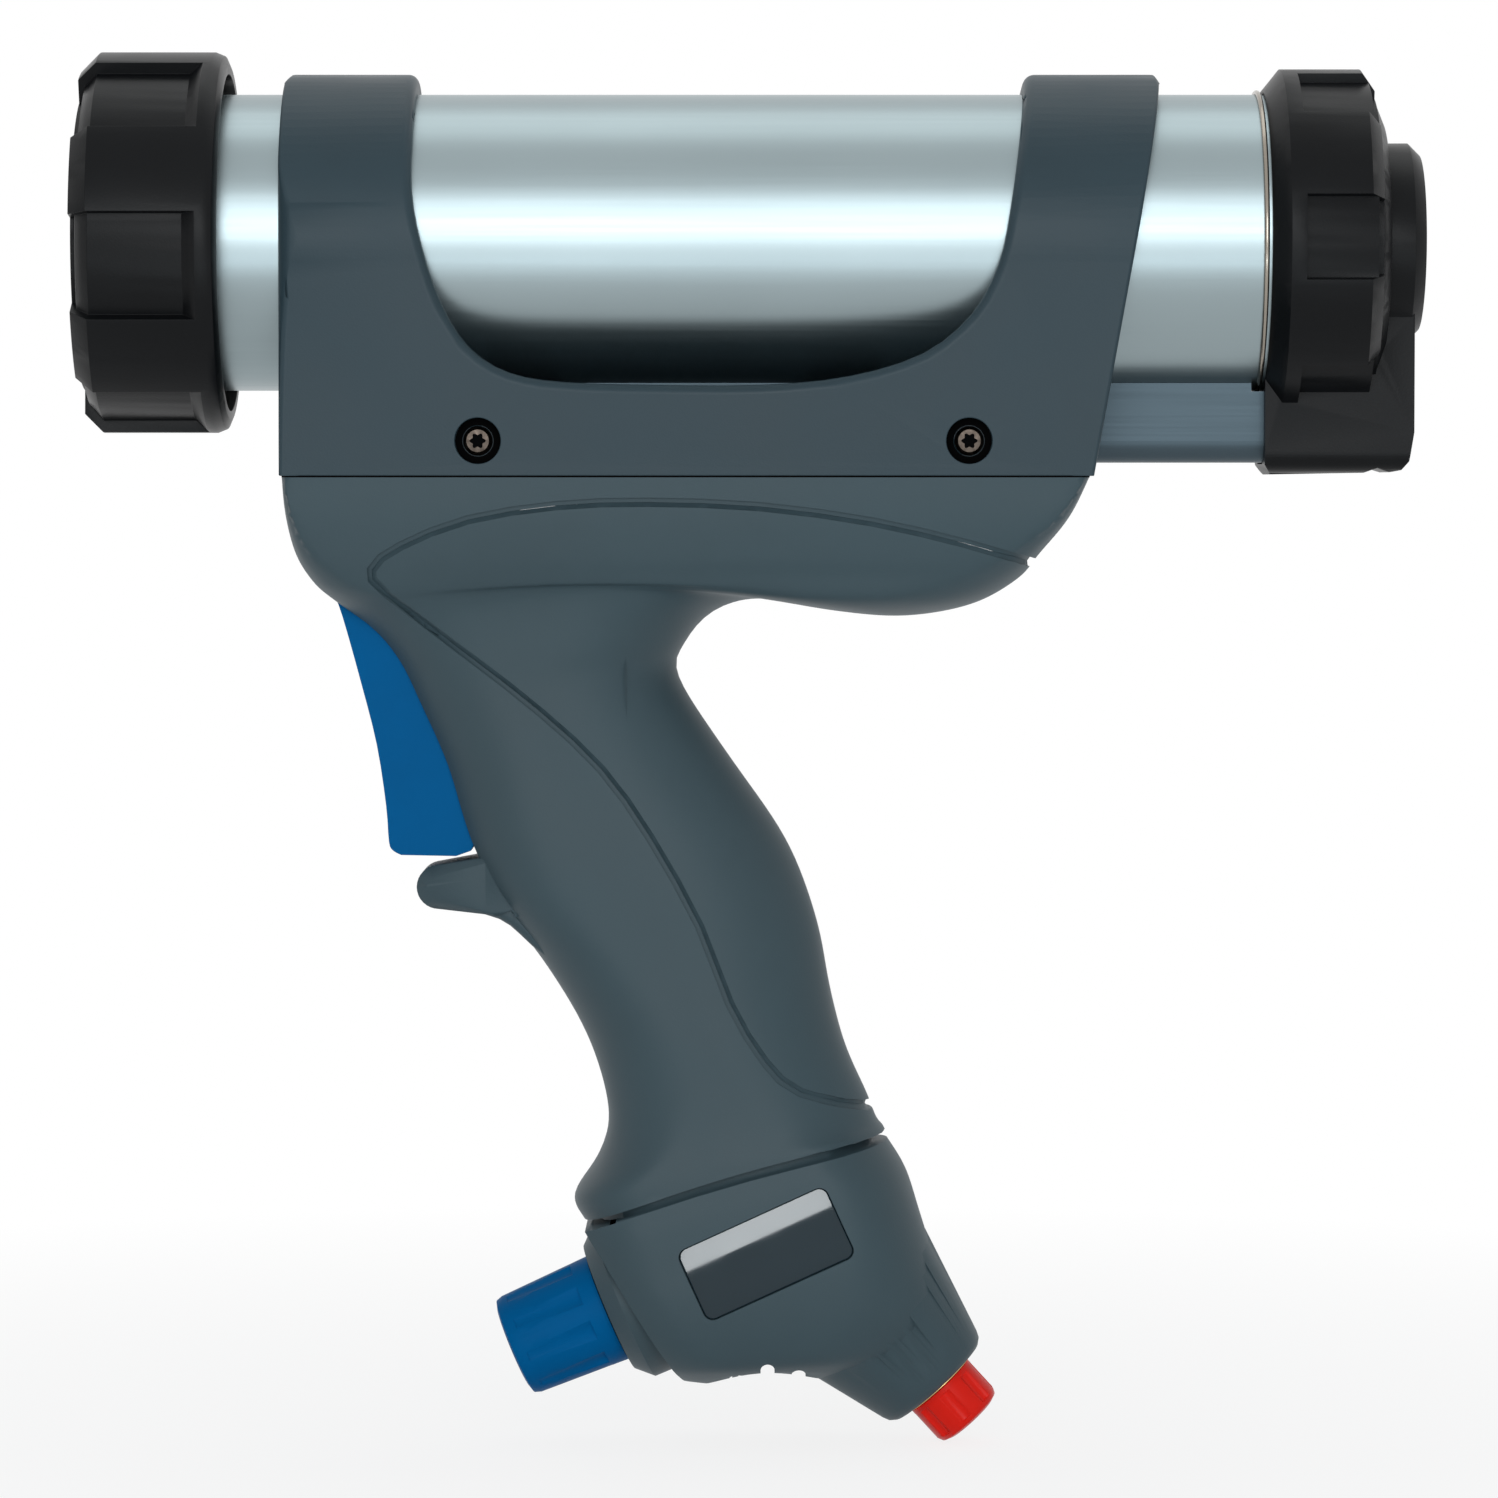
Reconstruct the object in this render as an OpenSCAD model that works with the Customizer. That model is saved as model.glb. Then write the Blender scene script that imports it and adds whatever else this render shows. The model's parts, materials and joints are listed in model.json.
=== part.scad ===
// Pneumatic caulking tool: a pistol-grip gun that pushes sealant out of a rigid cartridge with compressed air.
// X runs back along the barrel from the front face of the cap, Y is across the tool, Z is up.
// The origin is the centre of the nozzle opening.

/* [Barrel] */
// Outside diameter of the barrel tube
barrel_od = 55; // [54:0.5:56]
// Wall of the barrel tube
barrel_wall = 1.5; // [1.2:0.1:2]
// Length of the barrel tube
barrel_length = 225.5; // [222:0.5:232]
// Distance from the cap face to the front end of the tube
barrel_front = 7; // [6.6:0.1:7.6]
// Wall of the threaded collar at the front of the barrel
collar_wall = 3.3; // [2.6:0.1:3.6]
// Length of the threaded collar
collar_length = 15; // [12:0.5:16]
// Length of the bright ring that holds the rear cap
retainer_length = 2; // [1.5:0.1:2.5]
// Wall of that ring
retainer_wall = 1.2; // [0.9:0.1:1.5]

/* [Front cap] */
// Wall of the cap at its thread, over the grip pads
cap_skirt = 4.05; // [3.4:0.05:4.6]
// Length of the cap along the barrel
cap_length = 27; // [25:0.5:29]
// Thickness of the front wall
cap_wall = 4; // [3:0.5:4.5]
// Diameter of the opening that the cartridge nozzle passes through
nozzle_d = 20; // [16:0.5:24]
// Depth of the recesses between the grip pads
cap_recess = 2.2; // [1:0.1:2.6]
// Angle that one recess covers
cap_recess_angle = 32.5; // [24:0.5:36]
// Angle by which the cap is turned on its thread
cap_turn = 9; // [0:1:59]
// Travel of the cap along its thread
cap_travel = 15; // [12:0.5:15]

/* [Rear cap] */
// Wall of the rear cap round the tube
rear_skirt = 4.7; // [4.2:0.1:5.4]
// Length of the rear cap ring
rear_ring_length = 20.4; // [19:0.2:22]
// Diameter of the round boss on the back
rear_boss_d = 37; // [32:0.5:40]
// Height of the boss behind the ring plate
rear_boss_height = 7; // [5:0.5:8]
// Width of the block that joins the air channel
rear_block_w = 24; // [21:0.5:28]
// Number of grip pads on each cap
pad_count = 6; // [4:1:8]

/* [Cradle] */
// Wall of the two straps
strap_wall = 3.7; // [3.2:0.1:4.2]
// Width of the cradle at its foot
cradle_w = 56; // [54:0.5:58]
// Thickness of the cradle below the air channel
cradle_sole = 2.5; // [2.2:0.1:3.4]
// Distance from the cap face to the front strap
cradle_x = 37.9; // [37:0.1:39]
// Radius of the rounded upright edges at the front
cradle_corner = 4; // [2:0.5:5]
// Height of the screws below the barrel axis
screw_drop = 37; // [36.5:0.1:37.5]
// Diameter of the recess round each screw head
screw_recess_d = 8.4; // [7:0.1:9]
// Diameter of the screw heads
screw_head_d = 5.6; // [5:0.1:6.4]
// Diameter of the screw shanks
screw_d = 3; // [2.5:0.1:3.5]

/* [Air channel] */
// Width of the air channel under the barrel
channel_w = 17; // [15:0.5:17.5]
// Height of the air channel below the tube
channel_h = 13.4; // [13:0.1:14]
// Bore of the air channel
channel_bore = 6; // [4:0.5:7]
// Length of the air channel in front of the short tube
channel_nose = 6.4; // [5.6:0.2:10]

/* [Handle] */
// Width across the grip
grip_w = 35.2; // [34.4:0.1:36]
// Length of the grip from the trigger valve to the base
grip_length = 80; // [77:0.5:86]
// Gap round the palm grip
palm_gap = 0.04; // [0.02:0.01:0.1]
// Width of the groove along that gap
groove_w = 1.7; // [1:0.1:2.2]
// Depth of the groove
groove_depth = 1; // [0.6:0.1:1.4]
// Width of the open top of the handle cavity
cavity_w = 49; // [48:0.2:50]
// Gap between the handle and the base
base_gap = 1.5; // [1:0.1:2]

/* [Trigger] */
// Width of the trigger
trigger_w = 16; // [12:0.5:17]
// Diameter of the trigger pin
pin_d = 3; // [2.5:0.1:4]
// Length of the trigger pin
pin_length = 34; // [24:1:38]

/* [Valve] */
// Outside diameter of the valve body
valve_d = 17; // [15:0.5:18]
// Bore of the valve body
valve_bore = 9; // [8:0.2:10]
// Length of the valve body
valve_length = 30.5; // [30:0.5:32]
// Diameter of the valve stem
stem_d = 4; // [3:0.2:5]
// Outside diameter of the supply tube in the grip
supply_d = 8; // [7:0.2:9]
// Outside diameter of the short tube up to the channel
rise_d = 6; // [5:0.2:7]
// Wall of both tubes
tube_wall = 1; // [0.8:0.1:1.4]

/* [Pressure regulator] */
// Diameter of the adjusting knob
knob_d = 20.8; // [18:0.2:22]
// Length of the knob
knob_length = 19.2; // [15:0.2:22]
// Number of flutes round the knob
knob_flutes = 9; // [6:1:12]
// Diameter of the adjusting screw
adjuster_d = 6; // [5:0.2:7]
// Bore for the regulator spring and piston
regulator_bore = 18; // [16:0.5:18.5]
// Diameter of the knob collar at the housing
bonnet_d = 30.6; // [28:0.2:32]
// Travel of the spring seat over the whole turn of the knob
seat_travel = 3; // [2:0.5:3.5]

/* [Base] */
// Width of the base at its widest
base_w = 40.4; // [39:0.2:42]
// Minor diameter of the air inlet thread
inlet_d = 11.44; // [10:0.02:12]
// Outside diameter of the inlet fitting
fitting_d = 16; // [15:0.2:17]
// Diameter of the inlet plug
plug_d = 14.2; // [13:0.2:15]
// Length of the plug outside the base
plug_length = 9.3; // [7:0.1:12]
// Length of the bare badge plate
badge_l = 30; // [26:0.5:31]
// Height of the bare badge plate
badge_h = 14.2; // [11:0.2:15]
// Thickness of the badge plate
badge_t = 1.2; // [0.8:0.1:1.6]
// Width of one exhaust slot
slot_w = 2.6; // [2:0.1:3.6]
// Distance between exhaust slots
slot_pitch = 5.8; // [5:0.1:6.4]

/* [Fits] */
// Radial clearance of a part that turns or slides
run_gap = 0.05; // [0.02:0.01:0.1]
// Clearance of a part that is glued, pressed or screwed in
seat_gap = 0.02; // [0.01:0.01:0.05]
// Clearance of a part that is laid in a pocket
loose_gap = 0.25; // [0.2:0.05:0.3]

/* [Hidden] */
$fn = 96;
cut = 1;                // how far a cutter runs past a face
broad = 90;             // width of a cutter that goes right through
long = 50;              // length of a cutter for a blind or through hole

plastic_grey = [0.27, 0.33, 0.36];
plastic_black = [0.08, 0.08, 0.09];
plastic_blue = [0, 0.35, 0.56];
plastic_red = [0.88, 0.11, 0.08];
metal_bright = [0.78, 0.79, 0.8];
metal_brass = [0.72, 0.58, 0.3];
metal_channel = [0.36, 0.42, 0.46];
rubber_black = [0.12, 0.12, 0.12];

// Barrel and caps
barrel_r = barrel_od / 2;
bore_r = barrel_r - barrel_wall;
collar_r = barrel_r + collar_wall;
cap_mouth_r = collar_r + 0.5;
cap_r = cap_mouth_r + cap_skirt;
cap_chamfer = [3.4, 3.4];
collar_x = barrel_front + 0.5;
rear_r = barrel_r + rear_skirt;
rear_seat_depth = 13.5;
rear_x = barrel_front + barrel_length - rear_seat_depth;
rear_plate_x = rear_x + rear_ring_length;
rear_plate_t = 1.9;
rear_back_x = rear_plate_x + rear_plate_t + rear_boss_height;
rear_chamber_r = bore_r - 3;
rear_seal_t = 1.5;
rear_recess_angle = 28;
rear_rim_r = rear_r - 5.2;
retainer_r = barrel_r + retainer_wall;

// Cradle
strap_r = barrel_r + strap_wall;
channel_bottom = barrel_r + channel_h;
channel_axis = channel_bottom - channel_bore / 2 - 3;
cradle_drop = channel_bottom + cradle_sole;
block_bottom = cradle_drop - 0.5;
cradle_top_rear = rear_x - 19.4;
cradle_foot_rear = rear_x - 32.4;
// The stations below were set for a rear cap at this distance, and the rear ones move with it
station_rear = 219;
stretch = rear_x - station_rear;
screw_x = [74.2, 163.8 + stretch];
screw_face = cradle_w / 2 - 2.6;
pocket_in = 12;
pocket_out = 23.6;
pocket_top = 30.5;
lug_half = 6;
lug_top = 33.5;
window = [
  [62.3, 36], [62.2, 22], [62.2, 9], [64.1, -1.5], [67.6, -12], [72.6, -20], [80, -24.6], [90, -26.3],
  [106, -26.8], [126, -26.8], [142, -25.2], [155.5, -21], [164.3, -13.8], [169, -5], [171.2, 5], [173.4, 20],
  [175.4, 36]
];
function stretched(p) = [for (q = p) [q[0] + stretch * (q[0] - window[0][0]) / (175.4 - window[0][0]), q[1]]];

// Handle. The stations were set for a cradle foot at this height and for this length of grip, and move with them.
station_drop = 43.4;
station_grip = 80;
handle_shift = station_drop - cradle_drop;
foot_shift = handle_shift + station_grip - grip_length;
// Between these two stations the grip is drawn out
grip_from = -126;
grip_to = -158.6;
function settled(z) =
  z + handle_shift + (station_grip - grip_length) * min(1, max(0, (grip_from - z) / (grip_from - grip_to)));

// One row per section of the handle, from its top to its foot:
// front x, z, rear x, z, rise of the middle, share of the cradle width, round of the front and of the rear edge
handle_rows = [
  [37.9, -43.5, 186.2, -43.5, 0, 1.0, 4, 4],
  [38.4, -50.5, 182.6, -51.0, 0, 0.94, 6, 9],
  [40.0, -58.0, 177.2, -58.0, 0, 0.78, 10, 16],
  [43.0, -63.2, 173.6, -62.4, 3, 0.64, 14, 22],
  [46.0, -66.0, 165.0, -67.2, 7, 0.54, 16, 28],
  [48.8, -68.2, 152.0, -69.4, 11, 0.44, 17, 32],
  [51.6, -70.4, 138.0, -68.2, 11, 0.35, 17, 32],
  [54.2, -73.0, 125.7, -66.2, 8, 0.26, 17, 30],
  [56.4, -76.0, 117.0, -68.6, 4, 0.18, 17, 27],
  [58.4, -79.6, 111.6, -74.6, 1, 0.11, 17, 25],
  [60.6, -85.0, 110.6, -81.0, 0, 0.05, 17, 25],
  [65.6, -97.0, 119.5, -95.0, 0, 0, 17, 26],
  [69.6, -110.0, 130.4, -111.0, 0, 0, 17, 27],
  [75.0, -121.0, 136.2, -126.0, 0, 0, 17, 27],
  [84.5, -133.0, 138.7, -138.5, 0, 0, 17, 26],
  [93.2, -147.5, 141.6, -149.5, 0, 0.02, 17, 24],
  [97.3, -161.5, 145.6, -158.6, 0, 0.06, 17, 22],
  [95.6, -170.0, 147.4, -163.2, 1, 0.11, 16, 20],
  [91.0, -177.6, 148.6, -164.8, 2, 0.16, 15, 18],
  [92.8, -182.2, 149.1, -165.6, 3, 0.18, 14, 16]
];
// The same for the cavity inside, with half widths, and with the share of the stretch of the barrel at the end
cavity_rows = [
  [42.4, -43.5, 181.0, -43.5, 0, cavity_w / 2, 4, 6, 1],
  [43.4, -50.0, 175.0, -50.0, 0, cavity_w / 2 - 0.8, 6, 12, 0.9],
  [45.4, -56.0, 161.0, -57.0, 0, cavity_w / 2 - 2.6, 10, 20, 0.7],
  [49.0, -61.0, 139.0, -61.5, 0, cavity_w / 2 - 5.4, 12, 26, 0.4],
  [53.8, -67.0, 112.0, -64.5, 0, cavity_w / 2 - 8, 13, 24, 0.15],
  [61.4, -79.0, 106.6, -78.0, 0, grip_w / 2 - 2.6, 13, 20, 0],
  [70.6, -97.0, 115.0, -96.0, 0, grip_w / 2 - 3, 13, 22, 0],
  [78.2, -116.0, 128.0, -115.0, 0, grip_w / 2 - 3.2, 13, 23, 0],
  [88.4, -132.0, 134.0, -133.0, 0, grip_w / 2 - 3.4, 13, 22, 0],
  [97.4, -147.5, 137.2, -148.0, 0, grip_w / 2 - 3.2, 13, 20, 0],
  [101.4, -160.0, 140.8, -157.4, 0, grip_w / 2 - 2.8, 13, 18, 0],
  [99.5, -175.0, 143.0, -162.4, 2, grip_w / 2 - 2.4, 13, 18, 0]
];
// Centre line of the groove that parts the palm grip from the frame
groove = [
  [186, -62.2], [177.2, -59.6], [163.1, -55.7], [146.3, -51.8], [125.7, -49.0],
  [105.1, -48.2], [88.6, -48.8], [72.3, -51.4], [60.0, -56.2], [54.6, -60.6],
  [57.4, -65], [72.8, -77], [85.4, -87], [96.4, -97.4], [105.4, -110.0],
  [114.5, -126.4], [120.1, -140.8], [126.6, -151.6], [133.2, -157.4], [146.3, -160.9], [156, -163.4]
];
palm_outer = [[205, -120], [205, -62.2]];
palm_side = lifted(concat(spline(groove, 2), palm_outer));

// Trigger and finger rest
pivot = [48.5, -58.5 + handle_shift];
trigger_front = [
  [44.2, -60.2], [46.3, -64.6], [48.2, -69.5], [51.7, -82.1], [54.5, -93.3], [56.2, -104.6], [56.7, -111.2],
  [57.4, -112.9], [59, -113.8]
];
trigger_foot = [[69.2, -114], [72, -113], [73.2, -110.4]];
trigger_back = [[72.4, -106], [70, -99.5], [66.2, -91.4], [66.2, -79], [61, -68], [52.6, -57.6]];
trigger_slot = [
  [43.2, -60.4], [43.4, -55], [47, -53], [54, -53.4], [64, -63], [71, -80], [73.2, -90], [83, -112], [83, -114.5],
  [50, -114.5], [45.5, -68.5]
];
trigger_side_gap = 0.5;
rest_tip = [65.9, -119.8 + handle_shift];
rest_root = [79, -119.4 + handle_shift];
rest_r = 4.1;
rest_root_r = 6;
rest_half = 7;

// Trigger valve
valve_z = -83.7 + handle_shift;
valve_x = 73.5;
stem_tip_x = 66.5;
valve_r = valve_d / 2;
stem_r = stem_d / 2;
valve_bore_r = valve_bore / 2;
port_r = 1.6;
plug_t = 4;
land_t = 3.2;
land_x = [79, 87];
stem_end = 91.5;
ring_section = 1.3;
rise_x = land_x[1] + 3.4;
channel_x = rise_x - channel_nose;
rise_seat = 7.3;
vent_x = 96.5;
vent_r = 1.2;
supply_top = [84.4, valve_z];
supply_foot = [122.6, -177.2 + foot_shift];
supply_length = norm(supply_foot - supply_top);
supply_angle = atan2(supply_foot[0] - supply_top[0], supply_foot[1] - supply_top[1]);
supply_boss = 16;
supply_lean = 180 - supply_angle;
supply_start = (valve_bore_r + 1 + supply_d / 2 * sin(supply_lean)) / cos(supply_lean);
supply_end = supply_length + 2.6;
supply_seals = [supply_boss - 2.8, supply_end - 4];

// Base. One row per section, as for the handle, with half widths.
base_rows = [
  [88.4, -185.3, 149.6, -167.3, 3, base_w / 2 - 0.7, 16, 16],
  [89.4, -187.5, 153.0, -173.0, 2, base_w / 2 - 0.1, 16, 15],
  [91.4, -193.0, 155.6, -181.0, 1, base_w / 2, 16, 15],
  [94.4, -199.4, 158.2, -189.5, 1, base_w / 2, 16, 18],
  [98.0, -205.4, 161.0, -199.0, 2, base_w / 2 - 1.0, 16, 22],
  [103.4, -210.0, 159.0, -207.0, 3, base_w / 2 - 3.2, 16, 26],
  [110.0, -212.6, 148.0, -211.4, 5, base_w / 2 - 6.6, 15, 20],
  [115.2, -213.5, 138.0, -212.6, 5.4, base_w / 2 - 10.4, 10, 10]
];
neck_rows = [
  [95.8, -181.35, 146.4, -166.4, 2.6, grip_w / 2 - 0.6, 11, 13],
  [96.5, -184.4, 147.1, -169.4, 2.6, grip_w / 2 - 0.6, 11, 13]
];
station_gap = 1.5;
base_shift = foot_shift + station_gap - base_gap;

// Regulator, measured inwards along its axis from the back face of the knob
knob_station = [97.2, -199.3];
knob_at = knob_station + [0, base_shift];
regulator_tilt = 67;
bonnet_s = 3.3;
knob_flute_r = 3.7;
joint_s = 5.2;
joint_lean = 8.9;
spigot_s = 7.5;
bore_end = 26;
seat_s = 9;
seat_t = 2;
spring_s = seat_s + seat_t + 0.3;
screw_end = seat_s + seat_t + seat_travel + 0.5;
piston_s = 22;
piston_t = 3;
regulator_block = 30;
spring_end = piston_s - 0.4;
poppet_s = piston_s + piston_t + 0.2;
poppet_head_s = 30.3;
poppet_head_t = 3;
poppet_lift = 0.8;
chamber_s = 30;
chamber_end = 38.3;
chamber_r = 3.9;
poppet_stem_r = 1.2;

// Inlet, measured outwards along its axis from the face of the base
inlet_station = [159, -213.4];
inlet_at = inlet_station + [0, base_shift];
inlet_tilt = 137.4;
snout_r = 11.4;
snout_slope = 0.285;
snout_length = 26;
fitting_depth = 14;
filter_t = 3.5;
filter_r = 5.5;
plug_spigot = 9;
plug_flutes = 8;

// Badge and exhaust
badge_at = [126.8, -186.9 + base_shift];
badge_face = base_w / 2 - 1;
badge_tilt = 24.6;
slot_x = 127.1;
slot_tops = [-210.4, -207.8, -209.3];
silencer_x = [121.3, 134.7];
silencer_z = [-207.1, -203.3];
silencer_half = 12.7;
exhaust_at = [129, 12.2];
exhaust_top = -160;
exhaust_r = 2;

// Curves and lofts
function mix(a, b, t) = a * (1 - t) + b * t;
function spline_at(p, i, t) =
  let (a = p[max(i - 1, 0)], b = p[i], c = p[i + 1], d = p[min(i + 2, len(p) - 1)])
  (2 * b + (c - a) * t + (2 * a - 5 * b + 4 * c - d) * t * t + (3 * b - a - 3 * c + d) * t * t * t) / 2;
function spline(p, n) = [for (i = [0:len(p) - 2], j = [0:n - 1]) spline_at(p, i, j / n), p[len(p) - 1]];
function placed(rows, by) = [
  for (r = rows)
    [
      r[0], settled(r[1]) + by, r[2] + stretch * (r[8] == undef ? 0 : r[8]), settled(r[3]) + by,
      r[4], r[5], r[6], r[7], 1
    ]
];
function lifted(p) = [for (q = p) [q[0], settled(q[1])]];

round_steps = 5;
flat_steps = 2;
side = 2 * round_steps + flat_steps;
ring = 2 * side + 2;

// A section lies on a curve from the front to the rear edge, and its ends are rounded to a point on that curve.
// Its ninth value is 1 for elliptical ends and less for squarer ones.
function along(s, u) =
  let (f = [s[0], s[1]], r = [s[2], s[3]], m = (f + r) / 2 + [0, s[4]])
  f * (1 - u) * (1 - u) + m * 2 * u * (1 - u) + r * u * u;
function side_points(s) =
  let (l = norm([s[2] - s[0], s[3] - s[1]]))
  [
    for (i = [1:round_steps])
      let (a = 90 * i / round_steps) [s[6] * (1 - pow(cos(a), s[8])) / l, s[5] * pow(sin(a), s[8])],
    for (i = [1:flat_steps]) [mix(s[6], l - s[7], i / (flat_steps + 1)) / l, s[5]],
    for (i = [round_steps:-1:1])
      let (a = 90 * i / round_steps) [1 - s[7] * (1 - pow(cos(a), s[8])) / l, s[5] * pow(sin(a), s[8])]
  ];
function section(s) =
  let (q = side_points(s))
  [
    [s[0], 0, s[1]],
    for (e = q) let (p = along(s, e[0])) [p[0], e[1], p[1]],
    [s[2], 0, s[3]],
    for (i = [side - 1:-1:0]) let (p = along(s, q[i][0])) [p[0], -q[i][1], p[1]]
  ];
function quad(a, b, c, d) = [[a, b, c], [a, c, d]];
function wall_faces(count, at, inward) = [
  for (k = [0:count - 2], j = [0:ring - 1])
    let (a = at + k * ring + j, b = at + k * ring + (j + 1) % ring)
    each (inward ? quad(a, b, b + ring, a + ring) : quad(a, a + ring, b + ring, b))
];
function cap_faces(at, down) = [
  for (j = [0:side])
    let (a = at + j, b = at + j + 1, c = at + (ring - j - 1) % ring, d = at + (ring - j) % ring)
    each (j == 0 ? [down ? [a, c, b] : [a, b, c]]
      : j == side ? [down ? [a, d, b] : [a, b, d]]
      : down ? quad(a, d, c, b) : quad(a, b, c, d))
];
module loft(rows, steps) {
  s = spline(rows, steps);
  points = [for (k = s) each section(k)];
  polyhedron(points, concat(wall_faces(len(s), 0, false), cap_faces(0, false), cap_faces((len(s) - 1) * ring, true)));
}
// A loft with a cavity that is open at its top
module open_loft(outer, inner, steps) {
  a = spline(outer, steps);
  b = spline(inner, steps);
  at = len(a) * ring;
  points = [for (k = a) each section(k), for (k = b) each section(k)];
  rim = [for (j = [0:ring - 1]) let (n = (j + 1) % ring) each quad(j, n, at + n, at + j)];
  polyhedron(points, concat(
    wall_faces(len(a), 0, false), cap_faces((len(a) - 1) * ring, true), rim,
    wall_faces(len(b), at, true), cap_faces(at + (len(b) - 1) * ring, false)));
}

// Placing. Along: local z runs along the barrel. Across: a side view is given its width.
module along_barrel(x, z = 0) translate([x, 0, z]) rotate([0, 90, 0]) children();
module across(w) rotate([90, 0, 0]) linear_extrude(w, center = true) children();
module cross_bar(p, w, r) translate([p[0], 0, p[1]]) rotate([90, 0, 0]) cylinder(h = w, r = r, center = true);
module on_regulator() translate([knob_at[0], 0, knob_at[1]]) rotate([0, regulator_tilt, 0]) children();
module on_inlet() translate([inlet_at[0], 0, inlet_at[1]]) rotate([0, inlet_tilt, 0]) children();
module on_supply() translate([supply_top[0], 0, supply_top[1]]) rotate([0, supply_angle, 0]) children();
module sleeve(h, r_out, r_in) difference() {
  cylinder(h = h, r = r_out);
  translate([0, 0, -cut]) cylinder(h = h + 2 * cut, r = r_in);
}
module rounded(w, h, r) {
  square([w, h - 2 * r], center = true);
  square([w - 2 * r, h], center = true);
  for (m = [-1, 1], n = [-1, 1]) translate([m * (w / 2 - r), n * (h / 2 - r)]) circle(r, $fn = 32);
}
module o_ring(r, section_r) rotate_extrude() translate([r, 0]) circle(section_r, $fn = 24);
module passage(a, b, r) {
  d = b - a;
  translate(a) rotate([0, acos(d[2] / norm(d)), atan2(d[1], d[0])]) cylinder(h = norm(d), r = r, $fn = 24);
}

// Front cap
module front_cap() color(plastic_black) along_barrel(0) difference() {
  rotate_extrude() polygon([
    [nozzle_d / 2, 0], [cap_r - cap_chamfer[0], 0], [cap_r, cap_chamfer[1]], [cap_r, cap_length - 2.4],
    [cap_r - 0.7, cap_length - 0.7], [cap_r - 2.4, cap_length], [cap_mouth_r, cap_length],
    [cap_mouth_r, cap_wall], [nozzle_d / 2, cap_wall]
  ]);
  for (i = [0:pad_count - 1])
    rotate([0, 0, -90 + cap_turn + 360 / pad_count * i - cap_recess_angle / 2])
      rotate_extrude(angle = cap_recess_angle) polygon([
        [cap_r - 7.8, -cut], [cap_r - 7.8, 0.7], [cap_r - cap_recess - 2.6, 1.2], [cap_r - cap_recess, 3.6],
        [cap_r - cap_recess, cap_length - 6.2], [cap_r + 0.2, cap_length - 3.6], [cap_r + 2, cap_length - 3.6],
        [cap_r + 2, -cut]
      ]);
}
module front_cap_washer() color(rubber_black) along_barrel(cap_wall)
  sleeve(barrel_front - cap_wall - 0.3, bore_r, nozzle_d / 2 + 1);
module barrel_front_collar() color(metal_bright) along_barrel(collar_x)
  sleeve(collar_length, collar_r, barrel_r + seat_gap);

// Barrel
module barrel_tube() color(metal_bright) along_barrel(barrel_front) sleeve(barrel_length, barrel_r, bore_r);
module barrel_retaining_ring() color(metal_bright) along_barrel(rear_x - retainer_length) rotate_extrude() polygon([
  [barrel_r + seat_gap, 0], [retainer_r - 0.5, 0], [retainer_r, 0.5], [retainer_r, retainer_length],
  [barrel_r + seat_gap, retainer_length]
]);

// Rear cap
module rear_block() intersection() {
  across(rear_block_w) polygon([
    [rear_x, -10], [rear_x, 1.6 - block_bottom], [rear_x + 1.2, -0.2 - block_bottom],
    [rear_plate_x - 1.9, 0.1 - block_bottom], [rear_plate_x + 0.5, 1 - block_bottom],
    [rear_plate_x + 2.9, 0.2 - block_bottom], [rear_plate_x + 5, 0.6 - block_bottom],
    [rear_back_x - 2.6, 2.2 - block_bottom], [rear_back_x - 1.7, 7.6 - block_bottom], [rear_back_x - 1.7, -10]
  ]);
  translate([rear_x - cut, 0, 0]) rotate([90, 0, 90]) linear_extrude(40) union() {
    translate([-rear_block_w / 2, 4 - block_bottom]) square([rear_block_w, block_bottom]);
    translate([4 - rear_block_w / 2, -block_bottom - cut]) square([rear_block_w - 8, 10]);
    for (m = [-1, 1]) translate([m * (rear_block_w / 2 - 4), 4 - block_bottom]) circle(4);
  }
}
module rear_ring() difference() {
  along_barrel(rear_x) rotate_extrude() polygon([
    [0, 0], [rear_r - 4, 0], [rear_r, 3.2], [rear_r, rear_ring_length - 2.4],
    [rear_r - 3.4, rear_ring_length], [rear_rim_r, rear_ring_length],
    [rear_rim_r - 4.6, rear_ring_length + rear_plate_t],
    [rear_boss_d / 2, rear_ring_length + rear_plate_t],
    [rear_boss_d / 2, rear_back_x - rear_x - 2.2], [rear_boss_d / 2 - 2.2, rear_back_x - rear_x],
    [0, rear_back_x - rear_x]
  ]);
  for (i = [0:pad_count - 1])
    along_barrel(rear_x) rotate([0, 0, -90 - rear_recess_angle / 2 + 360 / pad_count * i])
      rotate_extrude(angle = rear_recess_angle) polygon([
        [rear_r - 1.8, 6], [rear_r - 1.8, rear_ring_length - 1.2], [rear_rim_r + 0.4, rear_ring_length - 1.2],
        [rear_rim_r + 0.4, rear_ring_length + 1], [rear_r + 2, rear_ring_length + 1], [rear_r + 2, 6]
      ]);
}
module rear_cap() color(plastic_black) difference() {
  union() {
    rear_ring();
    rear_block();
  }
  along_barrel(rear_x - cut) cylinder(h = rear_seat_depth + rear_seal_t + 0.5 + cut, r = barrel_r + run_gap);
  along_barrel(rear_x) cylinder(h = rear_ring_length - 2, r = rear_chamber_r);
  translate([rear_x - cut, 0, 0]) rotate([90, 0, 90]) linear_extrude(9) channel_section(loose_gap);
  passage([rear_x + 6, 0, -channel_axis], [rear_x + rear_seat_depth + 3, 0, -channel_axis], channel_bore / 2);
  passage([rear_x + rear_seat_depth + 3, 0, -channel_axis - 2], [rear_x + rear_seat_depth + 3, 0, 2 - rear_chamber_r],
    channel_bore / 2);
}
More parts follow.
